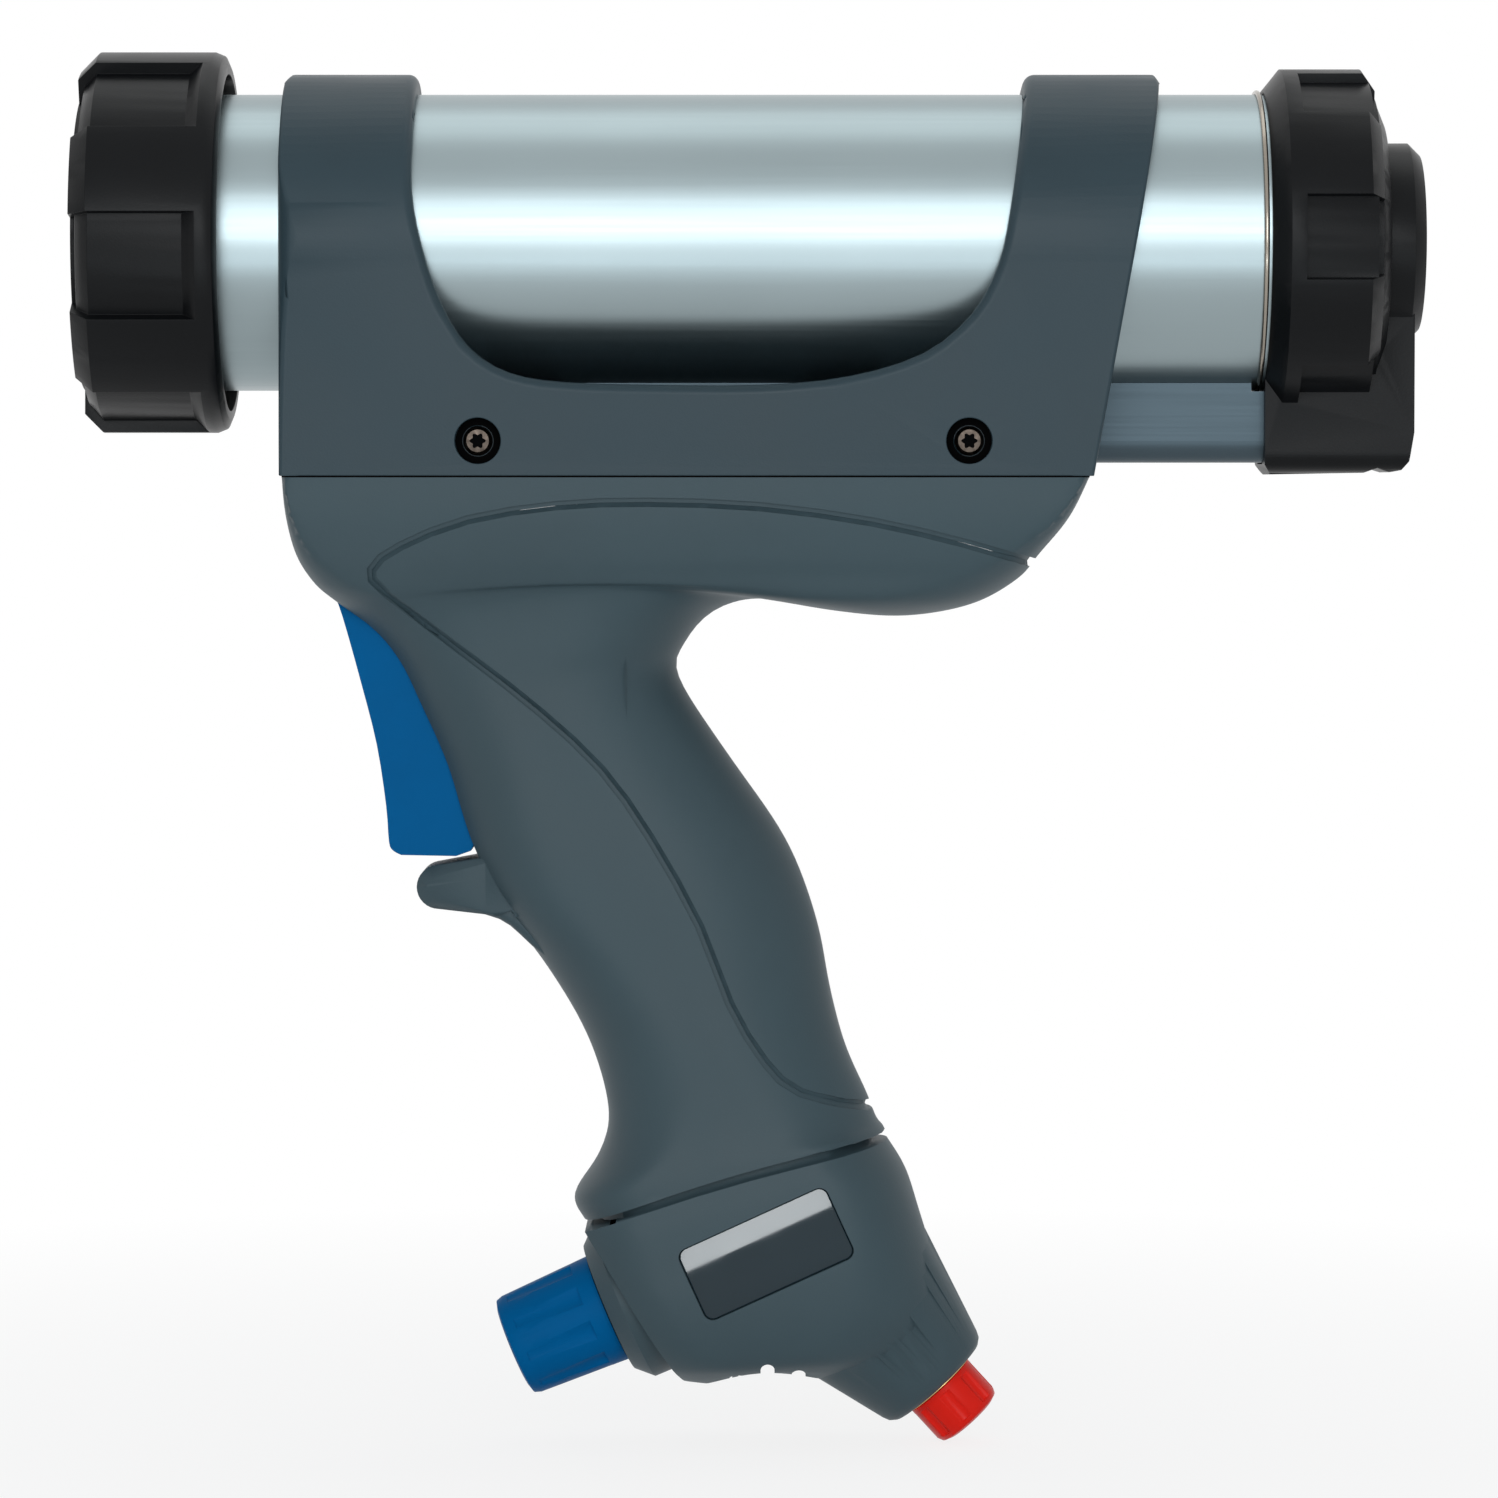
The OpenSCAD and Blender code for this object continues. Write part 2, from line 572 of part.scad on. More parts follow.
module rear_cap_seal() color(rubber_black) along_barrel(barrel_front + barrel_length + loose_gap)
  sleeve(rear_seal_t, barrel_r - run_gap, rear_chamber_r + 0.6);
module cartridge_seal() color(rubber_black) along_barrel(barrel_front + barrel_length - 12) rotate_extrude() polygon([
  [bore_r - 4, 0], [bore_r - 3, 0], [bore_r - run_gap, 4], [bore_r - run_gap, 12], [bore_r - 6, 12], [bore_r - 6, 6]
]);

// Air channel: its top is hollowed to lie against the tube
module channel_section(grow) {
  translate([-channel_w / 2 - grow, 4 - channel_bottom]) square([channel_w + 2 * grow, channel_h]);
  translate([4 - channel_w / 2, -channel_bottom - grow]) square([channel_w - 8, 10]);
  for (m = [-1, 1]) translate([m * (channel_w / 2 - 4), 4 - channel_bottom]) circle(4 + grow);
}
module air_channel() color(metal_channel) difference() {
  translate([channel_x, 0, 0]) rotate([90, 0, 90]) linear_extrude(rear_x + 7.6 - channel_x) difference() {
    union() channel_section(0);
    circle(barrel_r + seat_gap);
  }
  along_barrel(channel_x + 3, -channel_axis) cylinder(h = barrel_length, r = channel_bore / 2);
  along_barrel(rear_x + 5.8, -channel_axis) cylinder(h = 10, r = channel_bore / 2 + 1.5);
  along_barrel(rear_x - retainer_length - 0.3) cylinder(h = retainer_length + 0.6, r = retainer_r + 0.3);
  translate([rise_x, 0, -channel_bottom - cut]) cylinder(h = cut + 3.5, r = rise_d / 2 + run_gap);
  translate([rise_x, 0, -channel_bottom]) cylinder(h = 6, r = rise_d / 2 - tube_wall);
}
module channel_seals() color(rubber_black) {
  along_barrel(rear_x + 6.8, -channel_axis) o_ring(channel_bore / 2 + 0.72, 0.7);
  translate([rise_x, 0, 0.6 - channel_bottom]) sleeve(1, rise_d / 2 + run_gap, rise_d / 2 + 0.01);
}

// Cradle: two straps round the barrel and a saddle between them
module barrel_cradle() color(plastic_grey) difference() {
  for (foot = [false, true]) intersection() {
    translate([cradle_x - cut, 0, 0]) rotate([90, 0, 90]) linear_extrude(barrel_length) {
      if (foot) polygon([[-strap_r, 0], [strap_r, 0], [cradle_w / 2, -cradle_drop], [-cradle_w / 2, -cradle_drop]]);
      else circle(strap_r);
    }
    across(80) difference() {
      polygon([
        [cradle_x, -cradle_drop], [cradle_x, strap_r - 2], [cradle_x + 0.6, strap_r - 0.6],
        [cradle_x + 2, strap_r + 0.2], [cradle_top_rear - 2, strap_r + 0.2], [cradle_top_rear - 0.6, strap_r - 0.6],
        [cradle_top_rear - 0.2, strap_r - 2], [cradle_foot_rear, -cradle_drop]
      ]);
      polygon(stretched(spline(window, 3)));
    }
    translate([cradle_x + cradle_corner, 0, -60]) linear_extrude(100) union() {
      translate([0, -strap_r - cut]) square([barrel_length, 2 * strap_r + 2 * cut]);
      translate([-cradle_corner, cradle_corner - strap_r]) square([barrel_length, 2 * strap_r - 2 * cradle_corner]);
      for (m = [-1, 1]) translate([0, m * (strap_r - cradle_corner)]) circle(cradle_corner);
    }
  }
  along_barrel(0) cylinder(h = 2 * barrel_length, r = barrel_r + run_gap);
  translate([channel_x - loose_gap, 0, 0]) rotate([90, 0, 90]) linear_extrude(barrel_length) channel_section(loose_gap);
  translate([rise_x - 4.5, -channel_w / 2 - loose_gap, -cradle_drop - cut])
    cube([cradle_foot_rear - rise_x - 22.2, channel_w + 2 * loose_gap, 10]);
  for (m = [-1, 1]) {
    translate([cradle_x + 6, m > 0 ? pocket_in : -pocket_out, -cradle_drop - cut])
      cube([cradle_foot_rear - cradle_x - 11, pocket_out - pocket_in, cradle_drop + cut - pocket_top]);
    for (x = screw_x) {
      translate([x, m * screw_face, -screw_drop]) rotate([-90 * m, 0, 0])
        cylinder(h = long, r = screw_recess_d / 2, $fn = 48);
      translate([x, m * (pocket_in + 1), -screw_drop]) rotate([-90 * m, 0, 0])
        cylinder(h = long, r = screw_d / 2 + run_gap, $fn = 32);
    }
  }
}
module cradle_screws() color(metal_bright) for (x = screw_x, m = [-1, 1])
  translate([x, m * screw_face, -screw_drop]) rotate([-90 * m, 0, 0]) difference() {
    union() {
      cylinder(h = 1.9, r1 = screw_head_d / 2, r2 = screw_head_d / 2 - 0.5, $fn = 48);
      translate([0, 0, -11.6]) cylinder(h = 12, r = screw_d / 2, $fn = 32);
    }
    for (a = [0:60:120]) rotate([0, 0, a]) translate([-1.5, -0.35, 1]) cube([3, 0.7, 2]);
  }

// Handle. Its ends are squarer towards the cradle.
end_squareness = 0.3;
handle_sections = [
  for (r = handle_rows)
    [
      r[0], settled(r[1]), r[2] + stretch * r[5], settled(r[3]), r[4], mix(grip_w, cradle_w, r[5]) / 2,
      r[6], r[7], mix(1, end_squareness, r[5])
    ]
];
cavity_sections = placed(cavity_rows, 0);
// The handle's sections with a skin of thickness d taken off
function skinned(rows, d) = [
  for (r = rows)
    let (v = [r[2] - r[0], r[3] - r[1]], e = d * v / norm(v))
    [r[0] + e[0], r[1] + e[1], r[2] - e[0], r[3] - e[1], r[4], r[5] - d, r[6] - d, r[7] - d, r[8]]
];
module groove_channel() difference() {
  across(broad) difference() {
    offset(delta = groove_w / 2) polygon(palm_side);
    offset(delta = -groove_w / 2) polygon(palm_side);
  }
  loft(skinned(handle_sections, groove_depth), 2);
}
module valve_rib(x, top, top_half, foot_half) translate([x, 0, valve_z]) rotate([90, 0, 90]) linear_extrude(3)
  polygon([[-top_half, top], [top_half, top], [foot_half, -12], [-foot_half, -12]]);
module handle_lug(x, m) {
  translate([x - lug_half, m > 0 ? pocket_in + 0.4 : -pocket_out + 0.4, -cradle_drop - 6])
    cube([2 * lug_half, pocket_out - pocket_in - 0.8, cradle_drop + 6 - lug_top]);
  translate([x - lug_half, m > 0 ? pocket_in + 0.4 : -cradle_w / 2 + 1.6, -cradle_drop - 6])
    cube([2 * lug_half, cradle_w / 2 - 2 - pocket_in, 5]);
}
module handle_blank() difference() {
  union() {
    open_loft(handle_sections, cavity_sections, 2);
    hull() {
      cross_bar(rest_tip, 2 * rest_half, rest_r, $fn = 32);
      cross_bar(rest_tip, 2 * rest_half + 4, rest_r - 2, $fn = 32);
      cross_bar(rest_root, 2 * rest_half + 6, rest_root_r, $fn = 32);
    }
    valve_rib(76, 7, grip_w / 2 - 1.2, grip_w / 2 - 3.6);
    valve_rib(98, 12, grip_w / 2 - 2, grip_w / 2 - 2);
    for (x = screw_x, m = [-1, 1]) handle_lug(x, m);
  }
  groove_channel();
  across(trigger_w + 2 * trigger_side_gap) polygon(lifted(trigger_slot));
  cross_bar(pivot, pin_length + 0.4, pin_d / 2 + seat_gap);
  along_barrel(valve_x - 0.3, valve_z) cylinder(h = valve_length + 1, r = valve_r + loose_gap);
  on_supply() translate([0, 0, 20]) cylinder(h = supply_length, r = supply_d / 2 + loose_gap, $fn = 48);
  translate([exhaust_at[0], exhaust_at[1], exhaust_top + foot_shift - long])
    cylinder(h = long, r = exhaust_r, $fn = 24);
  for (x = screw_x, m = [-1, 1])
    translate([x, m * pocket_in, -screw_drop]) rotate([-90 * m, 0, 0])
      cylinder(h = long, r = screw_d / 2 + seat_gap, $fn = 32);
}
module palm_region(grow) across(broad) offset(delta = grow) polygon(palm_side);
module handle_frame() color(plastic_grey) difference() {
  handle_blank();
  palm_region(palm_gap / 2);
}
module palm_grip() color(plastic_grey) intersection() {
  handle_blank();
  palm_region(-palm_gap / 2);
}

// Trigger
module trigger() color(plastic_blue) difference() {
  union() {
    across(trigger_w) polygon(lifted(concat(spline(trigger_front, 3), trigger_foot, trigger_back)));
    cross_bar(pivot, trigger_w, 4.3);
  }
  cross_bar(pivot, trigger_w + 2 * cut, pin_d / 2 + run_gap);
}
module trigger_pin() color(metal_bright) cross_bar(pivot, pin_length, pin_d / 2);

// Trigger valve
module valve_body() color(metal_bright) difference() {
  union() {
    along_barrel(valve_x, valve_z) cylinder(h = valve_length, r = valve_r);
    on_supply() cylinder(h = supply_boss, r = supply_d / 2 + 2.4);
    translate([rise_x, 0, valve_z]) cylinder(h = 13, r = rise_d / 2 + 2.4);
  }
  along_barrel(valve_x - cut, valve_z) cylinder(h = valve_length, r = stem_r + run_gap, $fn = 48);
  along_barrel(valve_x + 3, valve_z) cylinder(h = valve_length, r = valve_bore_r);
  on_supply() cylinder(h = 10, r = port_r, $fn = 24);
  on_supply() translate([0, 0, supply_start]) cylinder(h = supply_boss, r = supply_d / 2 + seat_gap);
  supply_seal_groove(supply_seals[0]);
  translate([rise_x, 0, valve_z]) cylinder(h = 10, r = port_r, $fn = 24);
  translate([vent_x, 0, valve_z - 12]) cylinder(h = 12, r = vent_r, $fn = 24);
  translate([rise_x, 0, valve_z + rise_seat - 0.3]) cylinder(h = 20, r = rise_d / 2 + seat_gap);
}
module valve_stem() color(metal_bright) difference() {
  union() {
    along_barrel(stem_tip_x, valve_z) cylinder(h = stem_end - stem_tip_x, r = stem_r, $fn = 48);
    for (x = land_x) along_barrel(x, valve_z) cylinder(h = land_t, r = valve_bore_r - run_gap);
  }
  for (x = land_x) along_barrel(x + land_t / 2 - 0.75, valve_z) sleeve(1.5, valve_bore_r + 1, valve_bore_r - 1.3);
}
module valve_stem_seals() color(rubber_black) for (x = land_x)
  along_barrel(x + land_t / 2 - 0.7, valve_z) sleeve(1.4, valve_bore_r - run_gap, valve_bore_r - 1.28);
module valve_spring() color(metal_bright) along_barrel(land_x[1] + land_t + 0.3, valve_z)
  sleeve(valve_x + valve_length - plug_t - land_x[1] - land_t - 0.6, valve_bore_r - 0.5, stem_r + 0.6);
module valve_end_plug() color(metal_brass) along_barrel(valve_x + valve_length - plug_t, valve_z) difference() {
  cylinder(h = plug_t, r = valve_bore_r - seat_gap);
  translate([0, 0, 2]) cylinder(h = plug_t, r = 2, $fn = 6);
}
module rise_tube() color(metal_bright) translate([rise_x, 0, valve_z + rise_seat])
  sleeve(3.2 - channel_bottom - valve_z - rise_seat, rise_d / 2, rise_d / 2 - tube_wall);
module supply_tube() color(metal_bright) on_supply() translate([0, 0, supply_start + 0.3])
  sleeve(supply_end - supply_start - 0.3, supply_d / 2, supply_d / 2 - tube_wall);
module supply_tube_seals() color(rubber_black) on_supply() for (s = supply_seals)
  translate([0, 0, s]) sleeve(1.4, supply_d / 2 + 0.9, supply_d / 2 + 0.01);
module supply_seal_groove(s) on_supply() translate([0, 0, s - 0.2]) cylinder(h = 1.8, r = supply_d / 2 + 0.92);

// Base housing
base_sections = placed(base_rows, station_gap - base_gap);
neck_sections = placed(neck_rows, 0);
// The space in front of the slanting face on which the knob collar sits
module joint_side() translate([0, 0, joint_s]) rotate([0, -joint_lean, 0]) translate([-base_w, -base_w, -base_w])
  cube([2 * base_w, 2 * base_w, base_w]);
// The space over the slanting top of the base
base_top = base_sections[0];
module over_base() translate([base_top[0], 0, base_top[1]])
  rotate([0, -atan2(base_top[3] - base_top[1], base_top[2] - base_top[0]), 0])
  translate([-base_w, -base_w, 0]) cube([4 * base_w, 2 * base_w, base_w]);
module base_housing() color(plastic_grey) difference() {
  union() {
    loft(base_sections, 3);
    loft(neck_sections, 1);
    difference() {
      on_regulator() cylinder(h = regulator_block, r = bonnet_d / 2 + 0.3);
      over_base();
    }
    on_inlet() rotate_extrude() polygon([
      [0, -snout_length], [snout_r + snout_slope * snout_length, -snout_length], [snout_r + snout_slope * 2.2, -2.2],
      [snout_r + 0.1, -1], [snout_r - 0.9, -0.2], [snout_r - 2, 0], [0, 0]
    ]);
  }
  on_inlet() {
    translate([-base_w, -base_w, 0]) cube([2 * base_w, 2 * base_w, base_w]);
    translate([0, 0, -fitting_depth - 0.3]) cylinder(h = 30, r = fitting_d / 2 + seat_gap);
    translate([0, 0, -fitting_depth - filter_t - 0.6]) cylinder(h = 8, r = filter_r + 0.1);
    translate([0, 0, -38]) cylinder(h = 24, r = 2.5, $fn = 32);
  }
  on_regulator() {
    joint_side();
    cylinder(h = bore_end, r = regulator_bore / 2);
    translate([0, 0, bore_end - cut]) cylinder(h = 10, r = poppet_stem_r + 0.5, $fn = 32);
    translate([0, 0, chamber_s]) cylinder(h = chamber_end - chamber_s, r = chamber_r, $fn = 48);
  }
  on_supply() translate([0, 0, supply_length - 30]) cylinder(h = 30 + 2.9, r = supply_d / 2 + seat_gap);
  supply_seal_groove(supply_seals[1]);
  passage([117.5, 0, -186.2 + foot_shift], [123.6, 0, -180 + foot_shift], 1.4);
  translate([badge_at[0], badge_t - badge_face, badge_at[1]]) rotate([90, -badge_tilt, 0])
    linear_extrude(10) rounded(badge_l + 0.3, badge_h + 0.3, 1.9);
  for (i = [-1:1]) {
    translate([slot_x + slot_pitch * i, 0, slot_tops[i + 1] - slot_w / 2 + base_shift]) {
      rotate([90, 0, 0]) cylinder(h = broad, r = slot_w / 2, center = true, $fn = 32);
      translate([-slot_w / 2, -broad / 2, -12]) cube([slot_w, broad, 12]);
      translate([-0.8, -8, -1]) cube([1.6, 16, 8]);
    }
  }
  translate([silencer_x[0] - 0.3, -silencer_half - 0.3, silencer_z[0] - 0.1 + base_shift])
    cube([silencer_x[1] - silencer_x[0] + 0.6, 2 * silencer_half + 0.6, silencer_z[1] - silencer_z[0] + 0.4]);
  translate([exhaust_at[0], exhaust_at[1], silencer_z[1] - 1 + base_shift]) cylinder(h = long, r = exhaust_r, $fn = 24);
}
module badge_plate() color(plastic_black) translate([badge_at[0], badge_t - badge_face, badge_at[1]])
  rotate([90, -badge_tilt, 0]) linear_extrude(badge_t) rounded(badge_l, badge_h, 1.8);
module exhaust_silencer() color([0.75, 0.73, 0.68])
  translate([silencer_x[0], -silencer_half, silencer_z[0] + 0.1 + base_shift])
    cube([silencer_x[1] - silencer_x[0], 2 * silencer_half, silencer_z[1] - silencer_z[0]]);

// Regulator
module regulator_knob() color(plastic_blue) on_regulator() difference() {
  rotate_extrude() polygon([
    [0, -knob_length], [knob_d / 2 - 2.4, -knob_length], [knob_d / 2 - 1.1, 0.4 - knob_length],
    [knob_d / 2 - 0.7, 1.6 - knob_length], [knob_d / 2, 0], [0, 0]
  ]);
  for (i = [0:knob_flutes - 1]) rotate([0, 0, 360 / knob_flutes * i])
    translate([knob_d / 2 + knob_flute_r - 0.9, 0, 2.6 - knob_length])
      cylinder(h = knob_length - 3.4 - 2.6, r = knob_flute_r, $fn = 48);
  translate([0, 0, 3.4 - knob_length]) cylinder(h = knob_length, r = adjuster_d / 2 + seat_gap, $fn = 48);
  translate([0, 0, -6]) sleeve(7, knob_d / 2 - 2.6, adjuster_d / 2 + 2);
}
module adjusting_screw() color(metal_bright) on_regulator() {
  translate([0, 0, spigot_s + 0.3]) cylinder(h = 0.9, r = adjuster_d / 2 + 2.5);
  translate([0, 0, 3.6 - knob_length])
  cylinder(h = screw_end - 3.6 + knob_length, r = adjuster_d / 2, $fn = 48);
}
module knob_collar() color(plastic_grey) on_regulator() difference() {
  union() {
    intersection() {
      rotate_extrude() polygon([
        [0, 0.3], [bonnet_d / 2 - 2.8, 0.3], [bonnet_d / 2, bonnet_s], [bonnet_d / 2, 20], [0, 20]
      ]);
      joint_side();
    }
    translate([0, 0, 1]) cylinder(h = spigot_s - 1, r = regulator_bore / 2 - seat_gap);
  }
  translate([0, 0, -cut]) cylinder(h = spigot_s + 2 * cut, r = adjuster_d / 2 + run_gap, $fn = 48);
}
module spring_seat() color(metal_bright) on_regulator() translate([0, 0, seat_s])
  sleeve(seat_t, regulator_bore / 2 - 0.6, adjuster_d / 2 + run_gap);
module regulator_spring() color(metal_bright) on_regulator() translate([0, 0, spring_s])
  sleeve(spring_end - spring_s, regulator_bore / 2 - 1.2, regulator_bore / 2 - 3.6);
module regulator_piston() color(metal_brass) on_regulator() difference() {
  translate([0, 0, piston_s]) cylinder(h = piston_t, r = regulator_bore / 2 - run_gap);
  translate([0, 0, piston_s + piston_t / 2 - 0.75]) sleeve(1.5, regulator_bore / 2 + 1, regulator_bore / 2 - 1.6);
}
module piston_seal() color(rubber_black) on_regulator() translate([0, 0, piston_s + piston_t / 2 - 0.7])
  sleeve(1.4, regulator_bore / 2 - run_gap, regulator_bore / 2 - 1.58);
module regulator_poppet() color(metal_brass) on_regulator() {
  translate([0, 0, poppet_s]) cylinder(h = poppet_head_s - poppet_s, r = poppet_stem_r, $fn = 32);
  translate([0, 0, poppet_head_s]) cylinder(h = poppet_head_t, r = chamber_r - 0.7, $fn = 48);
}
module poppet_spring() color(metal_bright) on_regulator() translate([0, 0, poppet_head_s + poppet_head_t + 0.3])
  sleeve(chamber_end - poppet_head_s - poppet_head_t - 0.6, chamber_r - 0.8, chamber_r - 2);

// Inlet
module inlet_fitting() color(metal_brass) on_inlet() difference() {
  translate([0, 0, -fitting_depth]) cylinder(h = fitting_depth + 0.3, r = fitting_d / 2);
  translate([0, 0, 1 - fitting_depth]) cylinder(h = 30, r = inlet_d / 2);
  translate([0, 0, -fitting_depth - cut]) cylinder(h = 30, r = 3, $fn = 48);
}
module inlet_filter() color([0.7, 0.62, 0.45]) on_inlet() translate([0, 0, -fitting_depth - filter_t - 0.3])
  cylinder(h = filter_t, r = filter_r);
module inlet_plug() color(plastic_red) on_inlet() difference() {
  rotate_extrude() polygon([
    [3.4, -plug_spigot], [inlet_d / 2 - run_gap - 0.4, -plug_spigot], [inlet_d / 2 - run_gap, 0.8 - plug_spigot],
    [inlet_d / 2 - run_gap, 0.6], [plug_d / 2, 0.6], [plug_d / 2, plug_length - 1.6],
    [plug_d / 2 - 0.5, plug_length - 0.5], [plug_d / 2 - 1.7, plug_length], [0, plug_length], [0, 2], [3.4, 2]
  ]);
  for (i = [0:plug_flutes - 1]) rotate([0, 0, 360 / plug_flutes * i])
    translate([plug_d / 2 + 1.1, 0, 1.6]) cylinder(h = plug_length - 3, r = 1.7, $fn = 32);
}

front_cap();
front_cap_washer();
barrel_front_collar();
barrel_tube();
barrel_retaining_ring();
rear_cap();
rear_cap_seal();
cartridge_seal();
air_channel();
channel_seals();
barrel_cradle();
cradle_screws();
handle_frame();
palm_grip();
trigger();
trigger_pin();
valve_body();
valve_stem();
valve_stem_seals();
valve_spring();
valve_end_plug();
rise_tube();
supply_tube();
supply_tube_seals();
base_housing();
badge_plate();
exhaust_silencer();
regulator_knob();
adjusting_screw();
knob_collar();
spring_seat();
regulator_spring();
regulator_piston();
piston_seal();
regulator_poppet();
poppet_spring();
inlet_fitting();
inlet_filter();
inlet_plug();
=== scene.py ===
import json
import math

import bmesh
import bpy
import numpy
from mathutils import Matrix, Vector
from mathutils.bvhtree import BVHTree
from mathutils.interpolate import poly_3d_calc
from mathutils.kdtree import KDTree

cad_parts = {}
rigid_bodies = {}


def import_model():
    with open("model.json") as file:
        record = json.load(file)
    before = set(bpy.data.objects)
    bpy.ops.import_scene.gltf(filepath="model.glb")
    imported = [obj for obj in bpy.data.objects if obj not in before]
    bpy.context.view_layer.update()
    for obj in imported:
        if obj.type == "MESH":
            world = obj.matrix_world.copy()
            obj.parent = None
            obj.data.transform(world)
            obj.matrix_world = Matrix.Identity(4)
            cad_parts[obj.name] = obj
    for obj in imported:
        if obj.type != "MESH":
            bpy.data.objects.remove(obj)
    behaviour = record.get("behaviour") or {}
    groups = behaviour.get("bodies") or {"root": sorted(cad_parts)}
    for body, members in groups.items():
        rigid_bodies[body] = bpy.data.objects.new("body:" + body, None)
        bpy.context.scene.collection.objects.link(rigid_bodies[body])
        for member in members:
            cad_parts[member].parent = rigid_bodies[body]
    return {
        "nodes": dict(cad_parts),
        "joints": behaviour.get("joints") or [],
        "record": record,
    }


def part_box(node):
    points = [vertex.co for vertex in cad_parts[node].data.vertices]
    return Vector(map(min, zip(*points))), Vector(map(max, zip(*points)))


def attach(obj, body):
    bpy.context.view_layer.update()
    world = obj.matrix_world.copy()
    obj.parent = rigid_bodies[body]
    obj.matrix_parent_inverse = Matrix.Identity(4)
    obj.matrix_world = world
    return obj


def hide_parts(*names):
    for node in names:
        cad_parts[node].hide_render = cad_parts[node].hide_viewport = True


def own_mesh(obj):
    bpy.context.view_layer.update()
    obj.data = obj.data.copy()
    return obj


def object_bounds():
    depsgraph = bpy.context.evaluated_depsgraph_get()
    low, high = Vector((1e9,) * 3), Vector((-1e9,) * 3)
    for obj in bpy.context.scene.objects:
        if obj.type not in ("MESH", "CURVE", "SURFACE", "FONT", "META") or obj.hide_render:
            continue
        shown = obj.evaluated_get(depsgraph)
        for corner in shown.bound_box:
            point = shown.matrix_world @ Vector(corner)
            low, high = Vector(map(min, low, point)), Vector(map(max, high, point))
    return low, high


# A pneumatic caulking tool: barrel with its two caps, cradle and grip below, regulator and air inlet at the foot
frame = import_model()
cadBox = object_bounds()
nodes = frame["nodes"]
mm = 0.001
print("frame loaded:", len(nodes), "nodes")


# Camera: square on to the side, from a little below the barrel axis

cameraLook = {
    "place": (0.12365, -1.18, -0.0447),
    "target": (0.12365, 0.0, -0.0944),
    "frameWidth": 0.2802,  # width of the picture at the barrel
    "nearest": 0.05,
    "farthest": 20,
}


def addCamera(look):
    place = Vector(look["place"])
    away = Vector(look["target"]) - place
    data = bpy.data.cameras.new("camera")
    data.sensor_fit = "HORIZONTAL"
    data.angle = 2 * math.atan(look["frameWidth"] / 2 / away.length)
    data.clip_start = look["nearest"]
    data.clip_end = look["farthest"]
    camera = bpy.data.objects.new("camera", data)
    camera.location = place
    camera.rotation_euler = away.to_track_quat("-Z", "Y").to_euler()
    bpy.context.scene.collection.objects.link(camera)
    bpy.context.scene.camera = camera


addCamera(cameraLook)
print("camera placed")


# Materials

def startMaterial(name):
    material = bpy.data.materials.new(name)
    material.use_nodes = True
    tree = material.node_tree
    return material, tree.nodes, tree.links, tree.nodes["Principled BSDF"]


# noise on object coordinates, stretched along an axis if asked
def noiseOn(tree, links, scale, detail, stretch=(1, 1, 1)):
    place = tree.new("ShaderNodeTexCoord")
    mapping = tree.new("ShaderNodeMapping")
    mapping.inputs["Scale"].default_value = stretch
    noise = tree.new("ShaderNodeTexNoise")
    noise.inputs["Scale"].default_value = scale
    noise.inputs["Detail"].default_value = detail
    links.new(place.outputs["Object"], mapping.inputs["Vector"])
    links.new(mapping.outputs["Vector"], noise.inputs["Vector"])
    return noise.outputs["Fac"]


# a value spread over a new range, by default from the part of its range where noise mostly lies
def rangeOf(tree, links, source, low, high, fromLow=0.3, fromHigh=0.7):
    spread = tree.new("ShaderNodeMapRange")
    spread.inputs["From Min"].default_value = fromLow
    spread.inputs["From Max"].default_value = fromHigh
    spread.inputs["To Min"].default_value = low
    spread.inputs["To Max"].default_value = high
    links.new(source, spread.inputs["Value"])
    return spread.outputs["Result"]


def shade(colour, amount):
    return tuple(min(1.0, c * amount) for c in colour)


# colour that wanders between a darker and a lighter shade of itself
def addColour(tree, links, source, shader, colour, darker, lighter):
    blend = tree.new("ShaderNodeMix")
    blend.data_type = "RGBA"
    blend.inputs["A"].default_value = (*shade(colour, darker), 1)
    blend.inputs["B"].default_value = (*shade(colour, lighter), 1)
    links.new(rangeOf(tree, links, source, 0.0, 1.0), blend.inputs["Factor"])
    links.new(blend.outputs["Result"], shader.inputs["Base Color"])


def addRoughness(tree, links, source, shader, middle, spread):
    links.new(rangeOf(tree, links, source, middle - spread, middle + spread), shader.inputs["Roughness"])


def addBump(tree, links, source, shader, strength, depth):
    bump = tree.new("ShaderNodeBump")
    bump.inputs["Strength"].default_value = strength
    bump.inputs["Distance"].default_value = depth
    links.new(source, bump.inputs["Height"])
    links.new(bump.outputs["Normal"], shader.inputs["Normal"])


# moulded plastic: slow mottle in the colour, fine spark-eroded grain, patchy gloss
def mouldedPlastic(look):
    material, tree, links, shader = startMaterial(look["name"])
    mottle = noiseOn(tree, links, look["mottleScale"], look["mottleDetail"])
    grain = noiseOn(tree, links, look["grainScale"], look["grainDetail"])
    addColour(tree, links, mottle, shader, look["colour"], 1 - look["mottle"], 1 + look["mottle"])
    addRoughness(tree, links, mottle, shader, look["rough"], look["roughSpread"])
    addBump(tree, links, grain, shader, look["grain"], look["grainDepth"])
    shader.inputs["Specular IOR Level"].default_value = look["gloss"]
    return material


